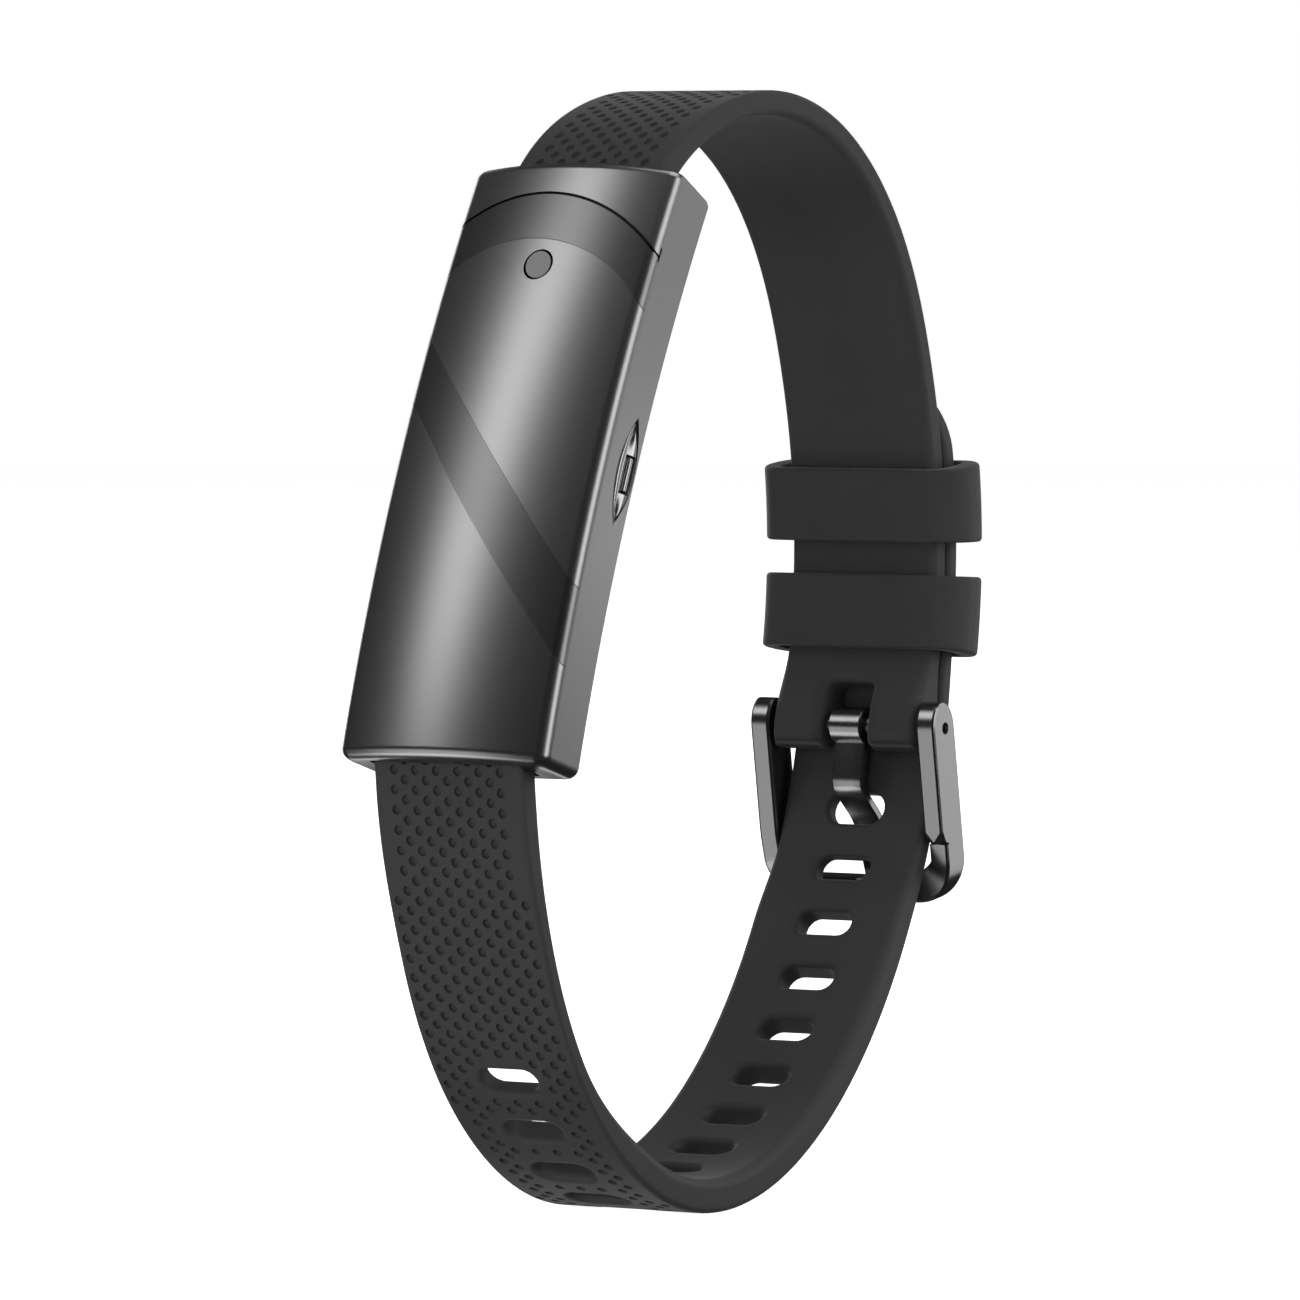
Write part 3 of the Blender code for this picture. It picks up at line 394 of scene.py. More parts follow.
def fill_patch(skin, shape, outer, outline, holes, dimples, step_x, step_s, slot=0):
    """Triangulate one face of the strap between its outline, slots and dimples.

    outline and holes are (places, indices) pairs; dimples is an array of centres.
    """
    groups = [outline, *holes]
    rim_radius = DIMPLE_PROFILE[0][0]
    angles = 2 * pi * np.arange(DIMPLE_SIDES) / DIMPLE_SIDES
    around = np.stack([np.cos(angles), np.sin(angles)], axis=-1)
    for centre in dimples:
        places = centre + around * rim_radius
        thick = shape.thick(places[:, 1])
        groups.append((places, skin.add(shape.place(places[:, 0], places[:, 1], thick))))
    flat_points = np.vstack([places for places, _ in groups])
    indices = np.concatenate([index for _, index in groups])
    owner = np.concatenate([np.full(len(index), k) for k, (_, index) in enumerate(groups)])
    tree = kdtree.KDTree(len(flat_points))
    for k, (a, b) in enumerate(flat_points):
        tree.insert((a, b, 0.0), k)
    tree.balance()
    outline_points = outline[0]
    low = outline_points.min(0)
    high = outline_points.max(0)
    xs = np.linspace(low[0], high[0], max(2, int((high[0] - low[0]) / step_x) + 1))
    ss = np.linspace(low[1], high[1], max(2, int((high[1] - low[1]) / step_s) + 1))
    grid = np.array([(x, s) for s in ss for x in xs])
    keep = inside_polygon(grid, outline_points)
    for places, _ in holes:
        keep &= ~inside_polygon(grid, places)
    if len(dimples):
        keep &= np.array([tree.find((a, b, 0.0))[2] > rim_radius for a, b in grid])
    else:
        keep &= np.array([tree.find((a, b, 0.0))[2] > 0.4 for a, b in grid])
    inner = grid[keep]
    t = shape.thick(inner[:, 1]) * outer
    inner_index = skin.add(shape.place(inner[:, 0], inner[:, 1], t))
    all_points = np.vstack([flat_points, inner])
    all_index = np.concatenate([indices, inner_index])
    all_owner = np.concatenate([owner, np.full(len(inner), -1)])
    edges = []
    start = 0
    for places, _ in groups:
        count = len(places)
        edges += [(start + k, start + (k + 1) % count) for k in range(count)]
        start += count
    _, _, triangles, origin, _, _ = delaunay_2d_cdt([Vector(p) for p in all_points], edges, [], 0, 1e-7)
    back = [o[0] for o in origin]
    corners = np.array([[back[c] for c in tri] for tri in triangles if len(tri) == 3])
    owners = all_owner[corners]
    same = (owners[:, 0] == owners[:, 1]) & (owners[:, 1] == owners[:, 2])
    drop = same & (owners[:, 0] >= 1)
    centres = all_points[corners].mean(1)
    on_outline = same & (owners[:, 0] == 0)
    outside = np.zeros(len(corners), bool)
    outside[on_outline] = ~inside_polygon(centres[on_outline], outline_points)
    corners = corners[~(drop | outside)]
    area = np.cross(all_points[corners[:, 1]] - all_points[corners[:, 0]],
                    all_points[corners[:, 2]] - all_points[corners[:, 0]])
    corners = corners[np.abs(area) > 1e-9]
    normals = shape.face_normal(all_points[:, 1], bool(outer))
    for a, b, c in corners:
        skin.face((all_index[a], all_index[b], all_index[c]), [normals[a], normals[b], normals[c]], slot)
    add_dimple_walls(skin, shape, dimples, groups[1 + len(holes):], around)
    return len(corners)


def add_dimple_walls(skin, shape, dimples, rims, around):
    for centre, (_, rim_index) in zip(dimples, rims):
        along = shape.along(np.array([centre[1]]))[0]
        face = shape.face_normal(np.array([centre[1]]), True)[0]
        radial = np.zeros((DIMPLE_SIDES, 3))
        radial[:, 0] = around[:, 0]
        radial += around[:, 1:] * along
        rows = [rim_index]
        normals = []
        for number, (radius, depth, lean) in enumerate(DIMPLE_PROFILE):
            lean = radians(lean)
            normals.append(unit(face * cos(lean) - radial * sin(lean)))
            if number:
                places = centre + around * radius
                t = shape.thick(places[:, 1]) - depth
                rows.append(skin.add(shape.place(places[:, 0], places[:, 1], t)))
        skin.rings(rows, normals)
        middle = skin.add(shape.place(centre[0], centre[1], shape.thick(centre[1]) - DIMPLE_DEPTH))[0]
        for k in range(DIMPLE_SIDES):
            after = (k + 1) % DIMPLE_SIDES
            skin.face((rows[-1][k], rows[-1][after], middle), [normals[-1][k], normals[-1][after], face])


def dimple_centres(s_low, s_high, edge, holes):
    """Staggered dimple centres that keep clear of the rounded edge and of the slot rims."""
    centres = []
    rows = int((s_high - s_low) / DIMPLE_ROW)
    for row in range(rows + 1):
        s = s_high - row * DIMPLE_ROW
        shifted = row % 2
        for column in range(DIMPLE_COLUMNS - shifted):
            x = (column - (DIMPLE_COLUMNS - 1 - shifted) / 2) * DIMPLE_PITCH_X
            centres.append((x, s))
    centres = np.array(centres)
    keep = inside_polygon(centres, edge)
    for rim in (edge, *holes):
        gaps = np.linalg.norm(centres[:, None] - rim[None], axis=2).min(1)
        keep &= gaps > DIMPLE_PROFILE[0][0] + DIMPLE_MARGIN
    for rim in holes:
        keep &= ~inside_polygon(centres, rim)
    return centres[keep]


def build_strap(name, shape, outline, slots, dimple_range, surface):
    """Closed strap skin: rounded outline wall, slot walls, dimpled outer face and plain inner face."""
    skin = Skin()
    outer_edge, inner_edge = wall_rings(skin, shape, outline, OUTER_ROUND, INNER_ROUND)
    outer_holes = []
    inner_holes = []
    for slot in slots:
        upper_rim, lower_rim = wall_rings(skin, shape, slot_loop(slot), SLOT_OUTER_ROUND, SLOT_INNER_ROUND)
        outer_holes.append(upper_rim)
        inner_holes.append(lower_rim)
    dimples = dimple_centres(*dimple_range, outer_edge[0], [places for places, _ in outer_holes])
    fill_patch(skin, shape, 1, outer_edge, outer_holes, dimples, 0.9, 0.7)
    fill_patch(skin, shape, 0, inner_edge, inner_holes, np.zeros((0, 2)), 1.2, 0.8)
    return skin.build(name + "_skin", [surface], "band", "silicone", name)


def lower_strap(surface):
    shape = lower_shape()
    half = STRAP_WIDTH / 2
    top = shape.high
    outline = turn_points((0, half), half, 180, 360, 36)
    outline += line((half, half), (half, top), 0.8)
    outline += line((half, top), (-half, top), 1.1)
    outline += line((-half, top), (-half, half), 0.8)
    slots = [SLOT_FIRST + SLOT_PITCH * k for k in range(SLOT_COUNT)]
    return build_strap("lower_strap", shape, outline, slots, (half + 3.0, top - 1.0), surface)


def upper_strap(surface):
    shape = upper_shape()
    half = STRAP_WIDTH / 2
    low = shape.low
    top = shape.high
    notch = float(np.interp(NOTCH_TOP, shape.rows[1][:400], shape.s[:400]))
    corner = 0.7
    outline = line((half, low), (half, top), 0.8)
    outline += line((half, top), (-half, top), 1.1)
    outline += line((-half, top), (-half, low), 0.8)
    outline += line((-half, low), (-NOTCH_HALF - 0.5, low), 0.6)
    outline += turn_points((-NOTCH_HALF - 0.5, low + 0.5), 0.5, -90, 0, 5)
    outline += line((-NOTCH_HALF, low + 0.5), (-NOTCH_HALF, notch - corner), 0.5)
    outline += turn_points((-NOTCH_HALF + corner, notch - corner), corner, 180, 90, 6)
    outline += line((-NOTCH_HALF + corner, notch), (NOTCH_HALF - corner, notch), 0.5)
    outline += turn_points((NOTCH_HALF - corner, notch - corner), corner, 90, 0, 6)
    outline += line((NOTCH_HALF, notch - corner), (NOTCH_HALF, low + 0.5), 0.5)
    outline += turn_points((NOTCH_HALF + 0.5, low + 0.5), 0.5, 180, 270, 5)
    outline += line((NOTCH_HALF + 0.5, low), (half, low), 0.6)
    return build_strap("upper_strap", shape, outline, [], (UPPER_ARC - 3.0, top - 1.0), surface)


# ---------------------------------------------------------------- mesh pieces with Blender's own normals
def ring_mesh(name, rings, closed=False, caps=True):
    """Skin a list of rings (mm) with equal point counts."""
    points = [point for ring in rings for point in ring]
    count = len(rings[0])
    total = len(rings)
    faces = []
    for j in range(total if closed else total - 1):
        low = j * count
        high = ((j + 1) % total) * count
        for k in range(count):
            after = (k + 1) % count
            faces.append((low + k, low + after, high + after, high + k))
    if caps and not closed:
        faces.append(tuple(reversed(range(count))))
        faces.append(tuple(range((total - 1) * count, total * count)))
    mesh = bpy.data.meshes.new(name)
    mesh.from_pydata((np.array(points, float) * MM).tolist(), [], faces)
    work = bmesh.new()
    work.from_mesh(mesh)
    bmesh.ops.recalc_face_normals(work, faces=work.faces)
    work.to_mesh(mesh)
    work.free()
    return mesh


def join_meshes(name, meshes):
    work = bmesh.new()
    for mesh in meshes:
        work.from_mesh(mesh)
        bpy.data.meshes.remove(mesh)
    joined = bpy.data.meshes.new(name)
    work.to_mesh(joined)
    work.free()
    return joined


def shade(mesh, sharp_degrees):
    mesh.polygons.foreach_set("use_smooth", [True] * len(mesh.polygons))
    mesh.set_sharp_from_angle(angle=radians(sharp_degrees))


def cut(mesh, tools):
    """The mesh with each tool mesh taken away."""
    target = bpy.data.objects.new("cut_target", mesh)
    bpy.context.scene.collection.objects.link(target)
    for tool in tools:
        cutter = bpy.data.objects.new("cut_tool", tool)
        bpy.context.scene.collection.objects.link(cutter)
        change = target.modifiers.new("cut", "BOOLEAN")
        change.operation = "DIFFERENCE"
        change.solver = "EXACT"
        change.object = cutter
        bpy.context.view_layer.update()
        graph = bpy.context.evaluated_depsgraph_get()
        made = bpy.data.meshes.new_from_object(target.evaluated_get(graph))
        target.modifiers.clear()
        target.data = made
        bpy.data.objects.remove(cutter)
    result = target.data
    bpy.data.objects.remove(target)
    return result


def rounded_outline(half_a, half_b, radius, steps):
    points = []
    for sign_a, sign_b, start in ((1, 1, 0), (-1, 1, 90), (-1, -1, 180), (1, -1, 270)):
        for k in range(steps):
            turn = radians(start + 90.0 * k / (steps - 1))
            points.append((sign_a * (half_a - radius) + radius * cos(turn),
                           sign_b * (half_b - radius) + radius * sin(turn)))
    return points


def end_stations(low, high, radius, spans, steps):
    """Stations from low to high with an inset that rounds off both ends."""
    stations = []
    for k in range(steps):
        turn = 0.5 * pi * k / steps
        stations.append((low + radius * (1 - cos(turn)), radius * (1 - sin(turn))))
    for k in range(spans + 1):
        stations.append((low + radius + (high - low - 2 * radius) * k / spans, 0.0))
    for k in reversed(range(steps)):
        turn = 0.5 * pi * k / steps
        stations.append((high - radius * (1 - cos(turn)), radius * (1 - sin(turn))))
    return stations


# ---------------------------------------------------------------- the module's own coordinates
def flat_point(x, rise, inward):
    return (x, MODULE_FACE[0] + rise * sin(MODULE_LEAN) + inward * cos(MODULE_LEAN),
            MODULE_FACE[1] + rise * cos(MODULE_LEAN) - inward * sin(MODULE_LEAN))


def module_point(x, along, depth):
    turn = along / MODULE_ARC
    radius = MODULE_ARC - depth
    return flat_point(x, radius * sin(turn), MODULE_ARC - radius * cos(turn))


def module_place(point):
    """Arc length and depth of a point in mm."""
    dy = point[1] - MODULE_FACE[0]
    dz = point[2] - MODULE_FACE[1]
    rise = dy * sin(MODULE_LEAN) + dz * cos(MODULE_LEAN)
    inward = dy * cos(MODULE_LEAN) - dz * sin(MODULE_LEAN)
    radius = sqrt(rise ** 2 + (MODULE_ARC - inward) ** 2)
    return MODULE_ARC * asin(rise / radius), MODULE_ARC - radius


def module_direction(along, x_part, front_part, up_part):
    """Vector from its parts across, out of the front and up the module, at a place along it."""
    turn = along / MODULE_ARC
    rise = front_part * sin(turn) + up_part * cos(turn)
    inward = -front_part * cos(turn) + up_part * sin(turn)
    return np.array((x_part, rise * sin(MODULE_LEAN) + inward * cos(MODULE_LEAN),
                     rise * cos(MODULE_LEAN) - inward * sin(MODULE_LEAN)))


def front_surface(x, inset=0.0):
    """Depth of the crowned front and the lean of its normal at x."""
    centre_x = MODULE_WIDTH / 2 - inset - FRONT_ROUND
    edge_x = centre_x + FRONT_ROUND * sin(CROWN_ANGLE)
    edge_depth = FRONT_ROUND * (1 - cos(CROWN_ANGLE)) + inset
    crown = edge_x / sin(CROWN_ANGLE)
    if abs(x) <= edge_x:
        lean = asin(x / crown)
        return edge_depth - crown * (cos(lean) - cos(CROWN_ANGLE)), lean
    lean = asin(min((abs(x) - centre_x) / FRONT_ROUND, 1.0))
    return FRONT_ROUND * (1 - cos(lean)) + inset, lean if x > 0 else -lean


def housing_section(inset):
    """Crown, rounded front edges, flat sides and a small back bevel as (x, depth) pairs."""
    half = MODULE_WIDTH / 2 - inset
    centre_x = half - FRONT_ROUND
    edge_x = centre_x + FRONT_ROUND * sin(CROWN_ANGLE)
    crown = edge_x / sin(CROWN_ANGLE)
    crown_spans = 28
    points = []
    for k in range(crown_spans + 1):
        x = crown * sin(CROWN_ANGLE * (2 * k / crown_spans - 1))
        points.append((x, front_surface(x, inset)[0]))
    right = []
    round_steps = 9
    for k in range(1, round_steps + 1):
        turn = CROWN_ANGLE + (pi / 2 - CROWN_ANGLE) * k / round_steps
        right.append((centre_x + FRONT_ROUND * sin(turn), FRONT_ROUND * (1 - cos(turn)) + inset))
    base = MODULE_SIDE - 0.3 * inset
    for k in range(4):
        turn = radians(30 * k)
        right.append((half - BACK_BEVEL * (1 - cos(turn)), base - BACK_BEVEL * (1 - sin(turn))))
    return points + right + [(-x, depth) for x, depth in reversed(right)]


def skin_normal(point):
    """Exact normal of the housing's outer skin at a point in mm, or None away from the skin."""
    along, depth = module_place(point)
    x = point[0]
    past = (abs(along) - (MODULE_LENGTH / 2 - END_ROUND)) / END_ROUND
    tilt = asin(min(max(past, 0.0), 1.0))
    inset = END_ROUND * (1 - cos(tilt))
    half = MODULE_WIDTH / 2 - inset
    up = sin(tilt) * (1 if along > 0 else -1)
    if abs(x) > half + 0.02:
        return None
    surface_depth, lean = front_surface(x, inset)
    if abs(depth - surface_depth) < 0.02:
        return module_direction(along, sin(lean) * cos(tilt), cos(lean) * cos(tilt), up)
    if abs(abs(x) - half) < 0.01 and depth < MODULE_SIDE - BACK_BEVEL + 0.05:
        return module_direction(along, (1 if x > 0 else -1) * cos(tilt), 0.0, up)
    return None


# ---------------------------------------------------------------- lines and tone bands on the front
def arc_line(centre_x, centre_u, radius):
    return lambda x: centre_u + sqrt(max(radius ** 2 - (x - centre_x) ** 2, 0.0))


def straight_line(at_zero, slope):
    return lambda x: at_zero + slope * x


TOP_ARC = arc_line(-1.24, 6.94, 14.63)
SECOND_ARC = arc_line(-1.2, 4.2, 13.4)
BAND_HIGH = straight_line(-0.2, -1.1)
BAND_LOW = straight_line(-6.1, -1.13)
FRONT_LINES = (
    # line, width, depth
    (TOP_ARC, 0.24, 0.16),
    (SECOND_ARC, 0.07, 0.06),
    (BAND_HIGH, 0.07, 0.06),
    (BAND_LOW, 0.07, 0.06),
)


def groove_tool(height_at, width, depth):
    """Thin swept tool along a line given as height over x, square to the front everywhere."""
    centre_x = MODULE_WIDTH / 2 - FRONT_ROUND
    places = [centre_x * (2 * k / 44 - 1) for k in range(45)]
    places += [centre_x + FRONT_ROUND * sin(radians(10 * k)) for k in range(1, 9)]
    places = [-place for place in reversed(places[45:])] + places
    rings = []
    for x in places:
        u = height_at(x)
        surface_depth, lean = front_surface(x)
        here = np.array(module_point(x, u, surface_depth))
        step = 0.02
        there = np.array(module_point(x + step, height_at(x + step), front_surface(x + step)[0]))
        normal = module_direction(u, sin(lean), cos(lean), 0.0)
        across = unit(np.cross(normal, there - here)) * width / 2
        rings.append([here + across + normal * 0.4, here - across + normal * 0.4,
                      here - across - normal * depth, here + across - normal * depth])
    return ring_mesh("groove", rings)


def tone_of(x, u):
    """0 for the plain front, 1 for the two darker bands."""
    if SECOND_ARC(x) < u < TOP_ARC(x) or BAND_LOW(x) < u < BAND_HIGH(x):
        return 1
    return 0


# ---------------------------------------------------------------- module pieces
BUTTON_DEPTH = 3.7
RECESS_HALF_LENGTH = 4.5
RECESS_HALF_WIDTH = 1.2
RECESS_FLOOR_X = 8.2
WINDOW_RISE = 15.4


def lens_half(along, half_length, half_width):
    """Half width of a two-arc lens at a distance from its middle."""
    radius = (half_length ** 2 + half_width ** 2) / (2 * half_width)
    return sqrt(max(radius ** 2 - along ** 2, 0.0)) - radius + half_width


def lens_ring(x, half_length, half_width, spans=18):
    places = [half_length * sin(pi / 2 * (2 * k / spans - 1)) for k in range(spans + 1)]
    ring = [module_point(x, a, BUTTON_DEPTH - lens_half(a, half_length, half_width)) for a in places]
    ring += [module_point(x, a, BUTTON_DEPTH + lens_half(a, half_length, half_width))
             for a in reversed(places[1:-1])]
    return ring


def bent_block(name, half_x, along, depth, corner, spans=8):
    rings = []
    for u, inset in end_stations(along[0], along[1], corner, spans, 6):
        a = half_x - inset
        rings.append([module_point(x, u, d) for x, d in
                      ((-a, depth[0]), (a, depth[0]), (a, depth[1]), (-a, depth[1]))])
    return ring_mesh(name, rings)


def pocket_tool(shape, sign):
    """Pocket for a strap end, with a thin even gap round the strap."""
    gap = 0.12
    depths = []
    for s in np.linspace(shape.high - STRAP_END_IN, shape.high, 5):
        for t in (0.0, float(shape.thick(s))):
            depths.append(module_place(shape.place(0.0, s, t))[1])
    low = min(depths) - gap
    high = max(depths) + gap
    deep = MODULE_LENGTH / 2 - STRAP_END_IN - 0.4
    rings = []
    for u in (sign * deep, sign * (MODULE_LENGTH / 2 + 1.0)):
        rings.append([module_point(x, u, (high + low) / 2 + t) for x, t in
                      rounded_outline(STRAP_WIDTH / 2 + gap, (high - low) / 2, 0.55, 6)])
    return ring_mesh("pocket", rings)


def inward_cylinder(name, x, rise, radii, depths, sides=40):
    rings = []
    for radius, depth in zip(radii, depths):
        turns = [2 * pi * k / sides for k in range(sides)]
        rings.append([flat_point(x + radius * cos(turn), rise + radius * sin(turn), depth)
                      for turn in turns])
    return ring_mesh(name, rings)


# side-button recess: how far out each section lies and how much it is grown
RECESS_SECTIONS = ((RECESS_FLOOR_X, -0.12), (9.2, 0.0), (9.32, 0.02), (9.6, 0.28))


def housing(looks, upper, lower):
    rings = []
    for u, inset in end_stations(-MODULE_LENGTH / 2, MODULE_LENGTH / 2, END_ROUND, 40, 8):
        rings.append([module_point(x, u, d) for x, d in housing_section(inset)])
    tools = [bent_block("cavity", 6.3, (-17.2, 17.2), (1.2, 8.0), 1.0),
             bent_block("ledge", 7.6, (-20.5, 20.5), (4.7, 9.0), 1.5),
             pocket_tool(upper, 1),
             pocket_tool(lower, -1),
             inward_cylinder("window_hole", 0.0, WINDOW_RISE, (1.3, 1.3), (-4.0, 3.0)),
             ring_mesh("recess", [lens_ring(x, RECESS_HALF_LENGTH + grow, RECESS_HALF_WIDTH + grow * 0.5)
                                  for x, grow in RECESS_SECTIONS])]
    tools += [groove_tool(*each) for each in FRONT_LINES]
    mesh = cut(ring_mesh("housing", rings), tools)
    paint_skin(mesh)
    surfaces = [looks["gunmetal"], looks["gunmetal_band"], looks["groove_painted_shade"]]
    return add_piece("housing_shell", mesh, surfaces, "band", "gunmetal", "housing")


# faces found by these two limits are painted near-black: painted shade in the top-arc groove
GROOVE_REACH = 0.13             # a dark face lies this near to the top arc
GROOVE_FACE_AREA = 4.0          # and is smaller than this


def paint_skin(mesh):
    """Exact normals on the outer skin, tone bands on the front, painted shade on the top arc's groove faces,
    and sharp edges elsewhere.
    """
    shade(mesh, 32.0)
    exact = []
    for face in mesh.polygons:
        middle = skin_normal(np.array(face.center) / MM)
        on_skin = middle is not None and np.dot(middle, face.normal) > 0.96
        u, _ = module_place(np.array(face.center) / MM)
        facing = module_direction(u, 0.0, 1.0, 0.0)
        if on_skin and np.dot(facing, face.normal) > 0.25:
            face.material_index = tone_of(face.center.x / MM, u)
        else:
            off_line = abs(u - TOP_ARC(face.center.x / MM))
            in_groove = off_line < GROOVE_REACH and np.dot(facing, face.normal) > -0.5
            # faces in the top-arc groove take the near-black plating, which is painted shade in the groove
            face.material_index = 2 if in_groove and face.area < GROOVE_FACE_AREA * MM ** 2 else 0
        for corner in face.vertices:
            normal = skin_normal(np.array(mesh.vertices[corner].co) / MM) if on_skin else None
            exact.append((0.0, 0.0, 0.0) if normal is None else tuple(normal))
    mesh.normals_split_custom_set(exact)


ROD_SIDES = 20
ROD_X = 9.1
ROD_OFFSET = 0.56               # the rod lies this far behind the button's centre line


def button(surface):
    """Lens-shaped cap: a long curved bar, two swept wings and a rod in the notch between them."""
    meshes = []
    half_length = 4.3
    half_width = 1.12
    base = [lens_ring(x, half_length, half_width - 0.1) for x in (8.6, 8.72)]
    meshes.append(ring_mesh("base", base))
    bar = []
    bar_spans = 28
    for k in range(bar_spans + 1):
        a = (half_length - 0.08) * sin(pi / 2 * (2 * k / bar_spans - 1))
        edge = lens_half(a, half_length, half_width)
        front = BUTTON_DEPTH - edge + 0.14
        wide = 0.16 + 0.52 * edge / half_width
        top = 9.2 + 0.25 * edge / half_width
        crest = 0.16
        ring = [(8.65, front), (top - crest, front)]
        for j in range(1, 8):
            turn = pi * j / 8
            ring.append((top - crest + crest * sin(turn), front + wide / 2 * (1 - cos(turn))))
        ring += [(top - crest, front + wide), (8.65, front + wide)]
        bar.append([module_point(x, a, d) for x, d in ring])
    meshes.append(ring_mesh("bar", bar))
    for sign in (-1, 1):
        wing = []
        for k in range(13):
            a = sign * (1.62 + 2.25 * k / 12)
            edge = lens_half(a, half_length, half_width)
            inner = BUTTON_DEPTH - edge + 0.14 + 0.16 + 0.52 * edge / half_width + 0.12
            outer = BUTTON_DEPTH + edge - 0.04
            outer = max(outer, inner + 0.06)
            rise = 1 - 0.45 * (k / 12) ** 2
            ring = [(8.65, inner), (8.9, inner)]
            for j in range(1, 7):
                part = j / 6
                ring.append((8.9 + 0.5 * rise * sin(pi / 2 * part) ** 1.3, inner + (outer - inner) * part))
            ring.append((8.65, outer))
            wing.append([module_point(x, a, d) for x, d in ring])
        meshes.append(ring_mesh("wing", wing))
    rod = []
    rod_half = 1.4
    rod_radius = 0.3
    for a, share in ((-rod_half, 0.8), (-rod_half + 0.06, 1.0), (rod_half - 0.06, 1.0), (rod_half, 0.8)):
        ring = []
        for k in range(ROD_SIDES):
            turn = 2 * pi * k / ROD_SIDES
            x = ROD_X + rod_radius * share * sin(turn)
            ring.append(module_point(x, a, BUTTON_DEPTH + ROD_OFFSET + rod_radius * share * cos(turn)))
        rod.append(ring)
    meshes.append(ring_mesh("rod", rod))
    mesh = join_meshes("button", meshes)
    shade(mesh, 35.0)
    return add_piece("side_button_cap", mesh, [surface], "side_button", "hardware", "button_cap")


# ---------------------------------------------------------------- keepers
KEEPER_WIDTH = 19.0
KEEPER_WALL = 0.9
KEEPER_SIDE_WALL = 1.8
KEEPER_HEIGHT = 6.2
KEEPER_CORNER = 2.6
FIT = 0.2


def keeper(name, angle_at, body, surface):
    low = INNER_ARC - FIT - KEEPER_WALL
    high = LOWER_ARC + LOWER_THICK + FIT + KEEPER_WALL
    centre = (low + high) / 2
    half_deep = (high - low) / 2
    bevel = 0.32
    rings = []
    outer = end_stations(-KEEPER_HEIGHT / 2, KEEPER_HEIGHT / 2, bevel, 10, 5)
    inner = end_stations(-KEEPER_HEIGHT / 2, KEEPER_HEIGHT / 2, 0.2, 10, 4)
    for along, inset in outer:
        outline = rounded_outline(KEEPER_WIDTH / 2 - inset, half_deep - inset, KEEPER_CORNER - inset, 12)
        rings.append([(x, *arc_point(centre + r, radians(angle_at) + along / centre)) for x, r in outline])
    for along, inset in reversed(inner):
        half_wide = KEEPER_WIDTH / 2 - KEEPER_SIDE_WALL + inset
        outline = rounded_outline(half_wide, half_deep - KEEPER_WALL + inset, 1.0 + inset, 12)
        rings.append([(x, *arc_point(centre + r, radians(angle_at) + along / centre)) for x, r in outline])
    mesh = ring_mesh(name, rings, closed=True)
    shade(mesh, 40.0)
    return add_piece(name + "_loop", mesh, [surface], body, "silicone", name)


# ---------------------------------------------------------------- buckle
FRAME_LEAN = radians(9.0)
FRAME_INNER_HALF = 6.95
FRAME_ARM = 1.72
FRAME_REACH = 13.4
FRAME_CORNER = 2.7
ARM_FRONT = -1.8
ARM_BACK = 1.5
BAR_FRONT = -0.5
BAR_BACK = 1.1
TONGUE_PATH = ((26.95, -9.1), (25.5, -14.5), (30.0, -15.3), (31.2, -21.6))
TONGUE_WIDTH = 2.9
TONGUE_THICK = 0.7
CURL_RADIUS = 1.5
TUBE_RADIUS = 0.8


def buckle_point(x, reach, out):
    return (x, PIN[0] + reach * sin(FRAME_LEAN) + out * cos(FRAME_LEAN),
            PIN[1] - reach * cos(FRAME_LEAN) + out * sin(FRAME_LEAN))


def frame_ring(x, reach, lateral, half, front, back, front_bevel, back_bevel):
    """Section with separate bevels at the front and back; the front is the wrist side."""
    f = front_bevel
    fd = min(front_bevel, 0.3 + 0.25 * front_bevel)
    b = back_bevel
    pairs = ((-half + f, front), (half - f, front), (half - 0.3 * f, front + 0.35 * fd), (half, front + fd),
             (half, back - b), (half - 0.3 * b, back - 0.3 * b), (half - b, back), (-half + b, back),
             (-half + 0.3 * b, back - 0.3 * b), (-half, back - b), (-half, front + fd),
             (-half + 0.3 * f, front + 0.35 * fd))
    return [buckle_point(x + lateral[0] * a, reach + lateral[1] * a, out) for a, out in pairs]


CORNER_WEB = 0.6                # extra metal inside each corner
ARM_TOP_REACH = 1.3             # how far an arm's end rises past the pin, in half depths of the arm


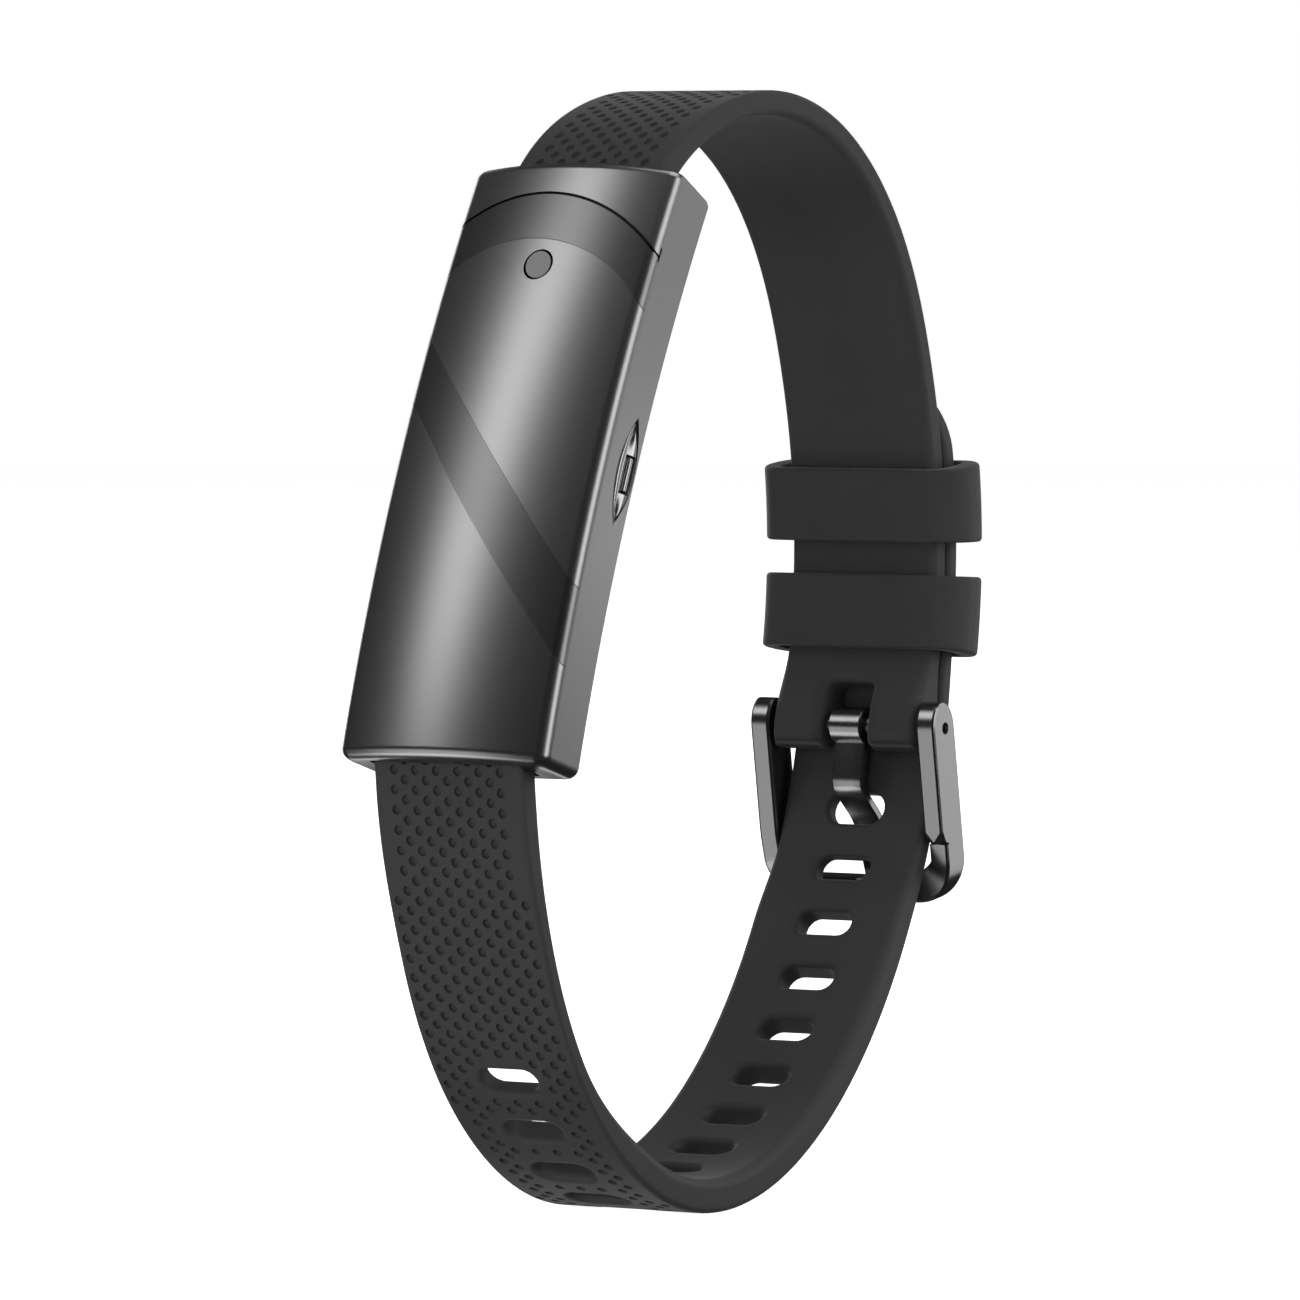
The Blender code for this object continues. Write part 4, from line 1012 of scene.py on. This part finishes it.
def frame_side(pointed):
    """Stations down one arm and round its corner; a pointed arm's front face ends in a V."""
    half = FRAME_ARM / 2
    arm_x = FRAME_INNER_HALF + half
    middle_out = (ARM_FRONT + ARM_BACK) / 2
    end_radius = (ARM_BACK - ARM_FRONT) / 2
    edge = 0.22
    stations = []
    for k in range(13):
        turn = radians(80 - 80 * k / 12)
        spread = end_radius * cos(turn)
        bevel = min(edge, spread * 0.6)
        stations.append((-arm_x, -ARM_TOP_REACH * end_radius * sin(turn), (1, 0), half, middle_out - spread,
                         middle_out + spread, bevel, bevel))
    shoulder = FRAME_REACH - FRAME_CORNER - 2.5
    front_at_corner = ARM_FRONT + 0.25
    tip = (shoulder + 0.8, half - 0.01) if pointed else (shoulder + 0.8, edge)
    stations.append((-arm_x, shoulder - 0.02, (1, 0), half, ARM_FRONT, ARM_BACK, edge, edge))
    stations.append((-arm_x, shoulder, (1, 0), half, ARM_FRONT, ARM_BACK, edge, edge))
    stations.append((-arm_x, tip[0], (1, 0), half, ARM_FRONT + 0.02, ARM_BACK, tip[1], edge))
    if pointed:
        front_at_corner = ARM_FRONT + 0.6
        stations.append((-arm_x, tip[0] + 0.3, (1, 0), half, front_at_corner, ARM_BACK, tip[1], edge))
        stations.append((-arm_x, tip[0] + 0.34, (1, 0), half, front_at_corner, ARM_BACK, edge, edge))
    corner_steps = 12
    for k in range(corner_steps + 1):
        turn = 0.5 * pi * k / corner_steps
        part = float(smooth(k / corner_steps))
        web = CORNER_WEB * sin(2 * turn)
        radius = FRAME_CORNER - web / 2
        x = -arm_x + FRAME_CORNER - radius * cos(turn)
        reach = FRAME_REACH - FRAME_CORNER + radius * sin(turn)
        front = front_at_corner + (BAR_FRONT - front_at_corner) * part
        back = ARM_BACK + (BAR_BACK - ARM_BACK) * part
        wide = half + 0.12 * part + web / 2
        stations.append((x, reach, (cos(turn), -sin(turn)), wide, front, back, edge, edge))
    return stations


TIP_HOLE_RADIUS = 0.49
TIP_HOLE_SIDES = 28


def buckle_frame(surface):
    """Both arms, the corners and the bar as one swept body, with the spring bar's holes cut through."""
    rings = [frame_ring(*station) for station in frame_side(False)]
    for x, reach, lateral, wide, front, back, bevel, far in reversed(frame_side(True)):
        rings.append(frame_ring(-x, reach, (-lateral[0], lateral[1]), wide, front, back, bevel, far))
    mesh = ring_mesh("frame", rings)
    hole = []
    for x in (-10, 10):
        turns = [2 * pi * k / TIP_HOLE_SIDES for k in range(TIP_HOLE_SIDES)]
        hole.append([(x, PIN[0] + TIP_HOLE_RADIUS * cos(turn), PIN[1] + TIP_HOLE_RADIUS * sin(turn))
                     for turn in turns])
    mesh = cut(mesh, [ring_mesh("hole", hole)])
    shade(mesh, 13.0)
    return add_piece("buckle_loop", mesh, [surface], "buckle_frame_body", "hardware", "buckle_frame")


BLADE_CORNERS = (TONGUE_PATH[0], (26.3, -12.9), (29.9, -16.0), TONGUE_PATH[3])
BLADE_BENDS = (0.9, 1.6)        # how far from each inner corner its bend begins


def blade_stations():
    """Points down the blade with their headings: straight runs joined by two bends."""
    corners = [np.array(each) for each in BLADE_CORNERS]
    path = [corners[0]]
    for before, corner, after, reach in zip(corners, corners[1:], corners[2:], BLADE_BENDS):
        start = corner + unit(before - corner) * reach
        end = corner + unit(after - corner) * reach
        for k in range(9):
            t = k / 8
            path.append((1 - t) ** 2 * start + 2 * (1 - t) * t * corner + t * t * end)
    path.append(corners[-1])
    stations = []
    for k, point in enumerate(path):
        heading = unit(path[min(k + 1, len(path) - 1)] - path[max(k - 1, 0)])
        stations.append((point, heading))
    return stations


def tongue(surface):
    """Blade that hangs from a curl round the spring bar."""
    blade = []
    stations = blade_stations()
    for k, (point, run) in enumerate(stations):
        t = k / (len(stations) - 1)
        near_tip = max(0.0, (t - 0.93) / 0.07)
        half_x = TONGUE_WIDTH / 2 * (1 - 0.12 * t) * sqrt(1 - 0.5 * near_tip ** 2)
        half_t = TONGUE_THICK / 2 * sqrt(1 - 0.6 * near_tip ** 2)
        blade.append([(x, point[0] + run[1] * a, point[1] - run[0] * a) for x, a in
                      rounded_outline(half_x, half_t, 0.16, 4)])
    curl = []
    half = TONGUE_WIDTH / 2
    bevel = 0.1
    profile = ((-half, CURL_RADIUS - bevel), (-half + bevel, CURL_RADIUS), (half - bevel, CURL_RADIUS),
               (half, CURL_RADIUS - bevel), (half, TUBE_RADIUS + 0.06), (-half, TUBE_RADIUS + 0.06))
    sides = 48
    for x, radius in profile:
        curl.append([(x, PIN[0] + radius * cos(2 * pi * k / sides), PIN[1] + radius * sin(2 * pi * k / sides))
                     for k in range(sides)])
    mesh = join_meshes("tongue", [ring_mesh("blade", blade), ring_mesh("curl", curl, closed=True)])
    shade(mesh, 30.0)
    return add_piece("buckle_prong", mesh, [surface], "tongue_body", "hardware", "buckle_tongue")


# ---------------------------------------------------------------- materials
class Nodes:
    """Short helper for node trees."""

    def __init__(self, name):
        self.material = bpy.data.materials.new(name)
        self.material.use_nodes = True
        self.tree = self.material.node_tree
        self.shader = self.tree.nodes["Principled BSDF"]

    def node(self, kind, **values):
        made = self.tree.nodes.new(kind)
        for key, value in values.items():
            if hasattr(made, key):
                setattr(made, key, value)
            else:
                made.inputs[key].default_value = value
        return made

    def link(self, source, output, target, input_name):
        self.tree.links.new(source.outputs[output], target.inputs[input_name])

    def noise(self, scale, detail=2.0, stretch=(1.0, 1.0, 1.0), lean=0.0):
        place = self.node("ShaderNodeTexCoord")
        mapping = self.node("ShaderNodeMapping")
        mapping.inputs["Rotation"].default_value = (lean, 0.0, 0.0)
        mapping.inputs["Scale"].default_value = stretch
        texture = self.node("ShaderNodeTexNoise", Scale=scale, Detail=detail)
        self.link(place, "Object", mapping, "Vector")
        self.link(mapping, "Vector", texture, "Vector")
        return texture

    def spread(self, texture, low, high, low_to, high_to, target):
        """Map a texture between two values onto a shader input."""
        span = self.node("ShaderNodeMapRange")
        for name, value in (("From Min", low), ("From Max", high), ("To Min", low_to), ("To Max", high_to)):
            span.inputs[name].default_value = value
        self.link(texture, "Fac", span, "Value")
        self.link(span, "Result", self.shader, target)

    def tones(self, texture, dark, light, low=0.3, high=0.7):
        ramp = self.node("ShaderNodeValToRGB")
        ramp.color_ramp.elements[0].position = low
        ramp.color_ramp.elements[0].color = (*dark, 1.0)
        ramp.color_ramp.elements[1].position = high
        ramp.color_ramp.elements[1].color = (*light, 1.0)
        self.link(texture, "Fac", ramp, "Fac")
        self.link(ramp, "Color", self.shader, "Base Color")

    def bump(self, texture, strength, distance):
        bump = self.node("ShaderNodeBump")
        bump.inputs["Strength"].default_value = strength
        bump.inputs["Distance"].default_value = distance
        self.link(texture, "Fac", bump, "Height")
        self.link(bump, "Normal", self.shader, "Normal")


def grey(level, tint=0.0):
    return (level, level, level * (1 + tint))


def metal(name, level, roughness, grain=0.008, lean=-MODULE_LEAN):
    """Polished dark plating with a very fine grain along the length and slight tone drift."""
    work = Nodes(name)
    work.shader.inputs["Metallic"].default_value = 1.0
    fine = work.noise(1500.0, 2.0, (6.0, 6.0, 0.4), lean)
    broad = work.noise(40.0, 1.0)
    work.tones(broad, grey(level * 0.98, 0.01), grey(level * 1.02, 0.015))
    work.spread(fine, 0.3, 0.7, roughness - grain, roughness + grain, "Roughness")
    return work.material


def silicone(name, level, roughness):
    """Matte moulded rubber: fine pebbling, slight sheen, faint tone drift."""
    work = Nodes(name)
    work.shader.inputs["Specular IOR Level"].default_value = 0.25
    work.shader.inputs["Sheen Weight"].default_value = 0.12
    work.shader.inputs["Sheen Roughness"].default_value = 0.4
    broad = work.noise(120.0, 3.0)
    grain = work.noise(5200.0, 2.0)
    work.tones(broad, grey(level * 0.94), grey(level * 1.06))
    work.spread(broad, 0.3, 0.7, roughness - 0.04, roughness + 0.04, "Roughness")
    work.bump(grain, 0.35, 0.00002)
    return work.material


def plastic(name, colour, roughness, scale=2500.0, strength=0.25, variation=0.06):
    work = Nodes(name)
    broad = work.noise(150.0, 3.0)
    grain = work.noise(scale, 2.0)
    work.tones(broad, tuple(c * (1 - variation) for c in colour), tuple(c * (1 + variation) for c in colour))
    work.spread(broad, 0.3, 0.7, roughness - 0.04, roughness + 0.04, "Roughness")
    work.bump(grain, strength, 0.00002)
    return work.material


def glass_lens(name):
    """Dark smoked window, glossy, with a faint tone drift."""
    work = Nodes(name)
    work.shader.inputs["Coat Weight"].default_value = 1.0
    work.shader.inputs["Coat Roughness"].default_value = 0.05
    broad = work.noise(300.0, 2.0)
    work.tones(broad, (0.018, 0.018, 0.021), (0.03, 0.03, 0.034))
    work.spread(broad, 0.3, 0.7, 0.10, 0.16, "Roughness")
    return work.material


def make_looks():
    return {
        "gunmetal": metal("gunmetal_plate", 0.46, 0.30),
        "gunmetal_band": metal("gunmetal_band", 0.30, 0.31),
        # near-black plating for the top-arc groove faces: painted shade in the groove
        "groove_painted_shade": metal("groove_painted_shade", 0.05, 0.5),
        # the buckle plating made lighter so the side button reads as lit: painted light
        "button_metal": metal("button_plate_painted_light", 0.52, 0.22),
        "hardware": metal("buckle_plate", 0.36, 0.24),
        "silicone": silicone("strap_silicone", 0.044, 0.56),
        "case_plastic": plastic("back_cover_plastic", (0.03, 0.03, 0.032), 0.42),
        "seal": plastic("seal_rubber", (0.02, 0.02, 0.02), 0.7),
        "lens": glass_lens("smoked_lens"),
        "light": plastic("status_light_resin", (0.8, 0.8, 0.75), 0.4),
        "board": plastic("board_mask", (0.02, 0.08, 0.04), 0.45, 1800.0),
        "chip": plastic("chip_body", (0.03, 0.03, 0.03), 0.5),
        "battery": metal("battery_can", 0.6, 0.38),
        "contact": metal("contact_gold", 0.6, 0.25),
        "steel": metal("pin_steel", 0.52, 0.28),
    }


def dress_cad_nodes(looks):
    """Materials for the CAD nodes that stay, by the record's slot of each node."""
    gold = looks["contact"].node_tree.nodes["Color Ramp"].color_ramp
    gold.elements[0].color = (0.66, 0.46, 0.20, 1.0)
    gold.elements[1].color = (0.76, 0.56, 0.27, 1.0)
    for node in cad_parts.values():
        if node.hide_render:
            continue
        slot_name = node.data.materials[0].name.split(".")[0] if node.data.materials else "steel"
        surface = looks.get(slot_name, looks["steel"])
        for material_slot in node.material_slots:
            material_slot.material = surface


# ---------------------------------------------------------------- studio
def softbox(name, direction, distance, size, radiance, glossy):
    """Rectangular light facing the object, as bright as radiance; size is across and along."""
    data = bpy.data.lights.new(name, "AREA")
    data.shape = "RECTANGLE"
    data.size = size[0]
    data.size_y = size[1]
    data.energy = radiance * pi * size[0] * size[1]
    made = bpy.data.objects.new(name, data)
    bpy.context.scene.collection.objects.link(made)
    toward = Vector(direction).normalized()
    made.location = toward * distance
    made.rotation_euler = (-toward).to_track_quat("-Z", "Y").to_euler()
    made.visible_camera = False
    made.visible_glossy = glossy
    return made


SOFTBOXES = (
    # name, direction, distance, size, radiance, seen in reflections
    ("key_front", (-0.505, -0.585, 0.635), 0.7, (0.15, 0.43), 2.1, True),
    ("strip_right", (0.95, 0.05, 0.31), 0.8, (0.40, 0.7), 1.5, True),
    ("card_back_right", (0.50, 0.78, 0.36), 0.16, (0.20, 0.13), 0.42, True),
    ("rim_back_left", (-0.86, 0.47, 0.20), 0.8, (0.30, 0.6), 1.8, True),
    ("top_fill", (0.2, 0.15, 1.0), 0.8, (0.7, 0.7), 1.1, True),
    ("buckle_fill", (-0.54, -0.78, -0.32), 1.0, (0.6, 0.4), 0.8, True),
    ("lip_bounce", (-0.54, -0.50, -0.68), 0.7, (0.4, 0.24), 1.5, True),
    ("buckle_side", (0.473, 0.865, -0.169), 0.109, (0.05, 0.06), 0.9, True),
    ("end_bounce", (-0.54, 0.51, -0.67), 0.9, (0.5, 0.4), 0.9, True),
    ("soft_front", (0.15, -1.0, 0.02), 1.2, (1.0, 0.9), 3.4, False),
    ("soft_right", (0.95, -0.10, 0.05), 1.2, (0.9, 0.9), 1.9, False),
    ("soft_left", (-0.85, -0.20, 0.40), 1.2, (0.9, 0.9), 1.5, False),
    ("soft_back", (0.1, 0.95, 0.30), 1.2, (1.0, 1.0), 2.2, False),
    ("soft_below", (0.0, -0.35, -0.95), 1.2, (1.2, 1.2), 1.2, False),
)


def studio():
    world = bpy.data.worlds.new("studio")
    bpy.context.scene.world = world
    world.use_nodes = True
    world.node_tree.nodes["Background"].inputs["Color"].default_value = (0.025, 0.025, 0.025, 1.0)
    for each in SOFTBOXES:
        softbox(*each)


FLOOR_RADIUS = 2400.0
SWEEP_RADIUS = 800.0
WALL_HEIGHT = 3200.0
BACKDROP_SIDES = 72


def backdrop():
    """Pale round floor that sweeps up into a wall on every side, well behind any camera."""
    floor_z = CAD_BOX[0].z / MM - 0.02
    profile = [(FLOOR_RADIUS, 0.0)]
    for k in range(1, 10):
        turn = radians(10 * k)
        profile.append((FLOOR_RADIUS + SWEEP_RADIUS * sin(turn), SWEEP_RADIUS * (1 - cos(turn))))
    profile.append((FLOOR_RADIUS + SWEEP_RADIUS, WALL_HEIGHT))
    points = [(0.0, 0.0, floor_z * MM)]
    for radius, height in profile:
        for k in range(BACKDROP_SIDES):
            turn = 2 * pi * k / BACKDROP_SIDES
            points.append((radius * cos(turn) * MM, radius * sin(turn) * MM, (floor_z + height) * MM))
    faces = [(0, 1 + k, 1 + (k + 1) % BACKDROP_SIDES) for k in range(BACKDROP_SIDES)]
    for row in range(len(profile) - 1):
        low = 1 + row * BACKDROP_SIDES
        high = low + BACKDROP_SIDES
        for k in range(BACKDROP_SIDES):
            after = (k + 1) % BACKDROP_SIDES
            faces.append((low + k, low + after, high + after, high + k))
    mesh = bpy.data.meshes.new("backdrop")
    mesh.from_pydata(points, [], faces)
    shade(mesh, 60.0)
    made = bpy.data.objects.new("backdrop", mesh)
    bpy.context.scene.collection.objects.link(made)
    work = Nodes("backdrop_paint")
    broad = work.noise(4.0)
    work.tones(broad, (0.9, 0.9, 0.9), (0.92, 0.92, 0.92))
    work.shader.inputs["Roughness"].default_value = 0.9
    work.shader.inputs["Emission Color"].default_value = (1.0, 1.0, 1.0, 1.0)
    work.shader.inputs["Emission Strength"].default_value = 0.96
    mesh.materials.append(work.material)
    made.visible_glossy = False
    made.visible_diffuse = False


# ---------------------------------------------------------------- camera
CAMERA_TARGET = (-2.07, 0.0, -0.99)
CAMERA_BACK = (0.53894, -0.84128, 0.04234)
CAMERA_DISTANCE = 800.0
CAMERA_LENS = 282.46


def camera():
    data = bpy.data.cameras.new("camera")
    data.lens = CAMERA_LENS
    data.sensor_width = 36.0
    data.clip_start = 0.05
    data.clip_end = 20.0
    made = bpy.data.objects.new("camera", data)
    bpy.context.scene.collection.objects.link(made)
    back = Vector(CAMERA_BACK)
    made.location = (Vector(CAMERA_TARGET) + back * CAMERA_DISTANCE) * MM
    made.rotation_mode = "QUATERNION"
    made.rotation_quaternion = (-back).to_track_quat("-Z", "Y")
    bpy.context.scene.camera = made


# ---------------------------------------------------------------- build
def main():
    bpy.context.scene.view_settings.view_transform = "Standard"
    looks = make_looks()
    upper = upper_shape()
    lower = lower_shape()
    upper_strap(looks["silicone"])
    lower_strap(looks["silicone"])
    housing(looks, upper, lower)
    # the button's plating is a lighter copy of the buckle's, which is painted light
    button(looks["button_metal"])
    keeper("keeper_upper", 3.8, "upper_keeper_body", looks["silicone"])
    keeper("keeper_lower", -6.1, "lower_keeper_body", looks["silicone"])
    buckle_frame(looks["hardware"])
    tongue(looks["hardware"])
    dress_cad_nodes(looks)
    studio()
    backdrop()
    camera()


main()
